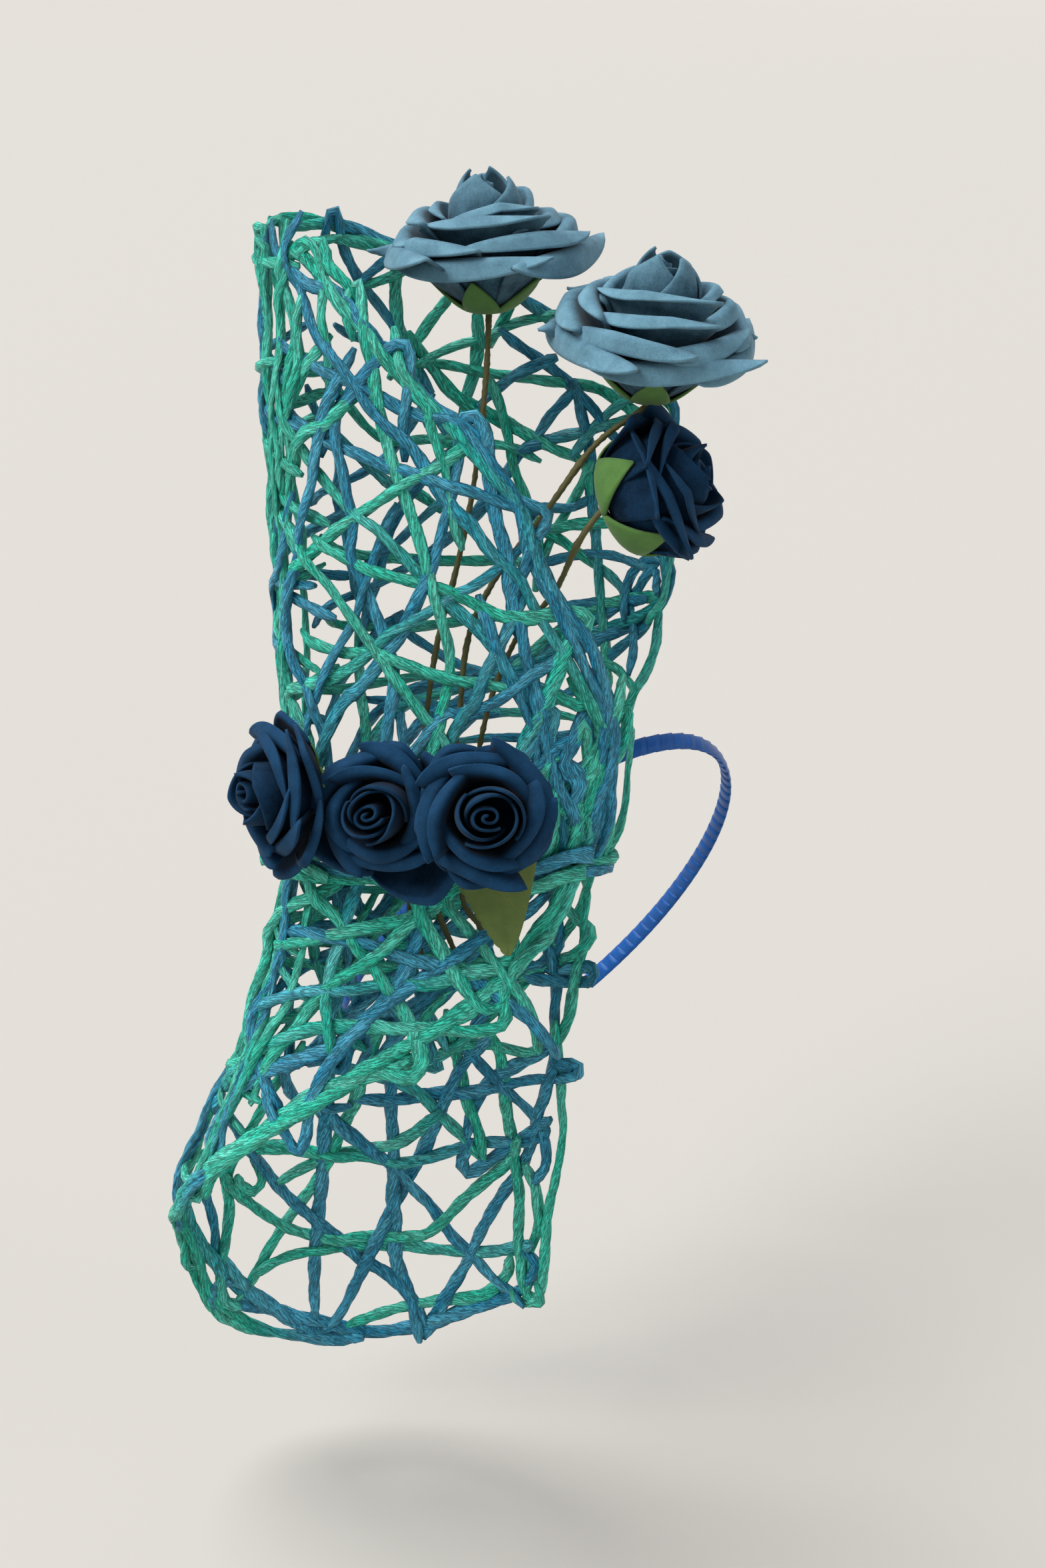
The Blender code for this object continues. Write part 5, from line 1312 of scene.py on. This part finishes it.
for rose in ROSES:
    rng = random.Random(rose.name)
    facing = Vector(rose.facing).normalized()
    place = (Matrix.Translation(rose_foot(rose)) @ facing.to_track_quat("Z", "Y").to_matrix().to_4x4()
             @ Matrix.Rotation(math.radians(rose.spin), 4, "Z"))
    petals = []
    for ring in PETAL_RINGS[rose.shape]:
        for k in range(ring.petals):
            azimuth = ring.twist + 360 * k / ring.petals + rng.uniform(-7, 7)
            side = place.to_3x3() @ Vector(round_axis(1, math.radians(azimuth), 0))
            hang = rose.hang * max(0.0, -side.z) ** 2 if ring is PETAL_RINGS[rose.shape][0] else 0.0
            petals.append(petal_sheet(ring, azimuth, rose, rng, hang))
    petals += [bud_sheet(azimuth, top, girth, rose) for azimuth, top, girth in BUD_WRAPS[rose.tint]]
    petals.append(scroll_sheet(50, rose))
    sepals = [sepal_sheet(72 * k + rng.uniform(-5, 5), rose, rng) for k in range(SEPAL_COUNT)]
    name = rose.name + "_petals"
    add_piece(name, sheets_mesh(name, petals, place, PETAL_THICKNESS, FOAMS[rose.tint]), FOAM_SLOTS[rose.tint],
              rose.name + "_bud", rose.name + "_inner_petals", rose.name + "_outer_petals")
    name = rose.name + "_sepals"
    add_piece(name, sheets_mesh(name, sepals, place, SEPAL_THICKNESS, sepal_foam), "leaf_foam",
              rose.name + "_calyx")

# Leaf: one leaf of green flocked foam, glued by its top under the right-hand waist rose, point down.
# It is cut from sheet with pinking teeth along its left side, and bowed a little.
LEAF_TOP = (-12.0, -62.9, 2.0)
LEAF_LENGTH = 42.0
LEAF_HALF_WIDTH = 18.0
LEAF_THICKNESS = 0.8
LEAF_LEAN = math.radians(8)
LEAF_SKEW = 0.4
LEAF_CUP = 2.2
LEAF_BOW = 1.2
LEAF_ROUND = 2.0
LEAF_TEETH = 13
LEAF_TOOTH = 0.9
LEAF_GRID = (16, 39)
LEAF_COLOUR = (0.130, 0.190, 0.052, 1)
LEAF_SHADE = (0.070, 0.108, 0.028, 1)


def leaf_spot(u, v):
    u = 2 * u - 1
    half = LEAF_HALF_WIDTH * (1 - v) ** 0.75
    tooth = LEAF_TOOTH * (1 - abs(2 * ((v * LEAF_TEETH) % 1) - 1)) * max(0.0, -u) ** 6
    point = (half * u - tooth + LEAF_SKEW * LEAF_HALF_WIDTH * v,
             -LEAF_CUP * u * u * (1 - v) - LEAF_BOW * math.sin(math.pi * v),
             LEAF_ROUND * (1 - u * u) - LEAF_LENGTH * v)
    return point, 0.35 + 0.35 * abs(u)


leaf_foam = foam("leaf_foam_sheet", LEAF_SHADE, LEAF_COLOUR, GREEN_SHINE)
leaf_place = Matrix.Translation(LEAF_TOP) @ Matrix.Rotation(-LEAF_LEAN, 4, "X")
leaf_mesh = sheets_mesh("foam_leaf", [sheet(*LEAF_GRID, leaf_spot)], leaf_place, LEAF_THICKNESS, leaf_foam)
add_piece("foam_leaf", leaf_mesh, "leaf_foam", "leaf")

# Studio: a plain pale floor that curves up far away, a soft window light from the left, a weak fill
# from the right and a broad light from above, with the camera where the viewer stands.
FLOOR_HEIGHT = -0.292
FLOOR_RADII = (0.0, 1.5, 6.0, 20.0, 32.0, 38.0, 40.0, 40.5)
FLOOR_LIFTS = (0.0, 0.0, 0.0, 0.0, 0.3, 1.6, 3.5, 7.0)
FLOOR_COLOUR = (0.437, 0.418, 0.388, 1)
FLOOR_SIDES = 96
AIR_COLOUR, AIR_STRENGTH = (0.93, 0.95, 1.0, 1), 0.47
spots, faces = [], []
for radius, lift in zip(FLOOR_RADII, FLOOR_LIFTS):
    for k in range(FLOOR_SIDES):
        turn = math.tau * k / FLOOR_SIDES
        spots.append((radius * math.cos(turn), radius * math.sin(turn), FLOOR_HEIGHT + lift))
for row in range(len(FLOOR_RADII) - 1):
    for k in range(FLOOR_SIDES):
        a, b = row * FLOOR_SIDES + k, row * FLOOR_SIDES + (k + 1) % FLOOR_SIDES
        faces.append((a, a + FLOOR_SIDES, b + FLOOR_SIDES, b))
floor_mesh = bpy.data.meshes.new("studio_floor")
floor_mesh.from_pydata(spots, [], faces)
floor_mesh.polygons.foreach_set("use_smooth", [True] * len(faces))
floor = bpy.data.objects.new("studio_floor", floor_mesh)
bpy.context.scene.collection.objects.link(floor)
paint, tree, shader = new_material("pale_paint", roughness=0.9, base_color=FLOOR_COLOUR)
floor_mesh.materials.append(paint)

Light = namedtuple("Light", "name side angle strength colour")
LIGHTS = (
    Light("window", (-0.62, -0.39, 0.68), 32, 2.3, (1.0, 0.98, 0.95)),
    Light("fill", (0.82, -0.29, 0.50), 45, 0.5, (0.96, 0.98, 1.0)),
    Light("ceiling", (-0.36, 0.21, 0.91), 35, 2.5, (1.0, 1.0, 1.0)),
)
for row in LIGHTS:
    data = bpy.data.lights.new(row.name, "SUN")
    data.angle, data.energy, data.color = math.radians(row.angle), row.strength, row.colour
    lamp = bpy.data.objects.new(row.name, data)
    heading = Vector(placed((0, 0, 0))) - Vector(placed(row.side))
    lamp.rotation_euler = heading.to_track_quat("-Z", "Y").to_euler()
    bpy.context.scene.collection.objects.link(lamp)
world = bpy.data.worlds.new("studio")
world.use_nodes = True
air = world.node_tree.nodes["Background"].inputs
air["Color"].default_value, air["Strength"].default_value = AIR_COLOUR, AIR_STRENGTH
bpy.context.scene.world = world
bpy.context.scene.view_settings.view_transform = "Standard"

lens = bpy.data.cameras.new("viewer")
lens.lens = LENS
lens.sensor_width = FILM_WIDTH
lens.clip_start = 0.01
camera = bpy.data.objects.new("viewer", lens)
camera.location = placed((0, -VIEW_DISTANCE * math.cos(VIEW_DROP), VIEW_DISTANCE * math.sin(VIEW_DROP)))
camera.rotation_euler = (math.radians(90) - VIEW_DROP, 0, -FACE_TURN)
bpy.context.scene.collection.objects.link(camera)
bpy.context.scene.camera = camera

bpy.context.view_layer.update()
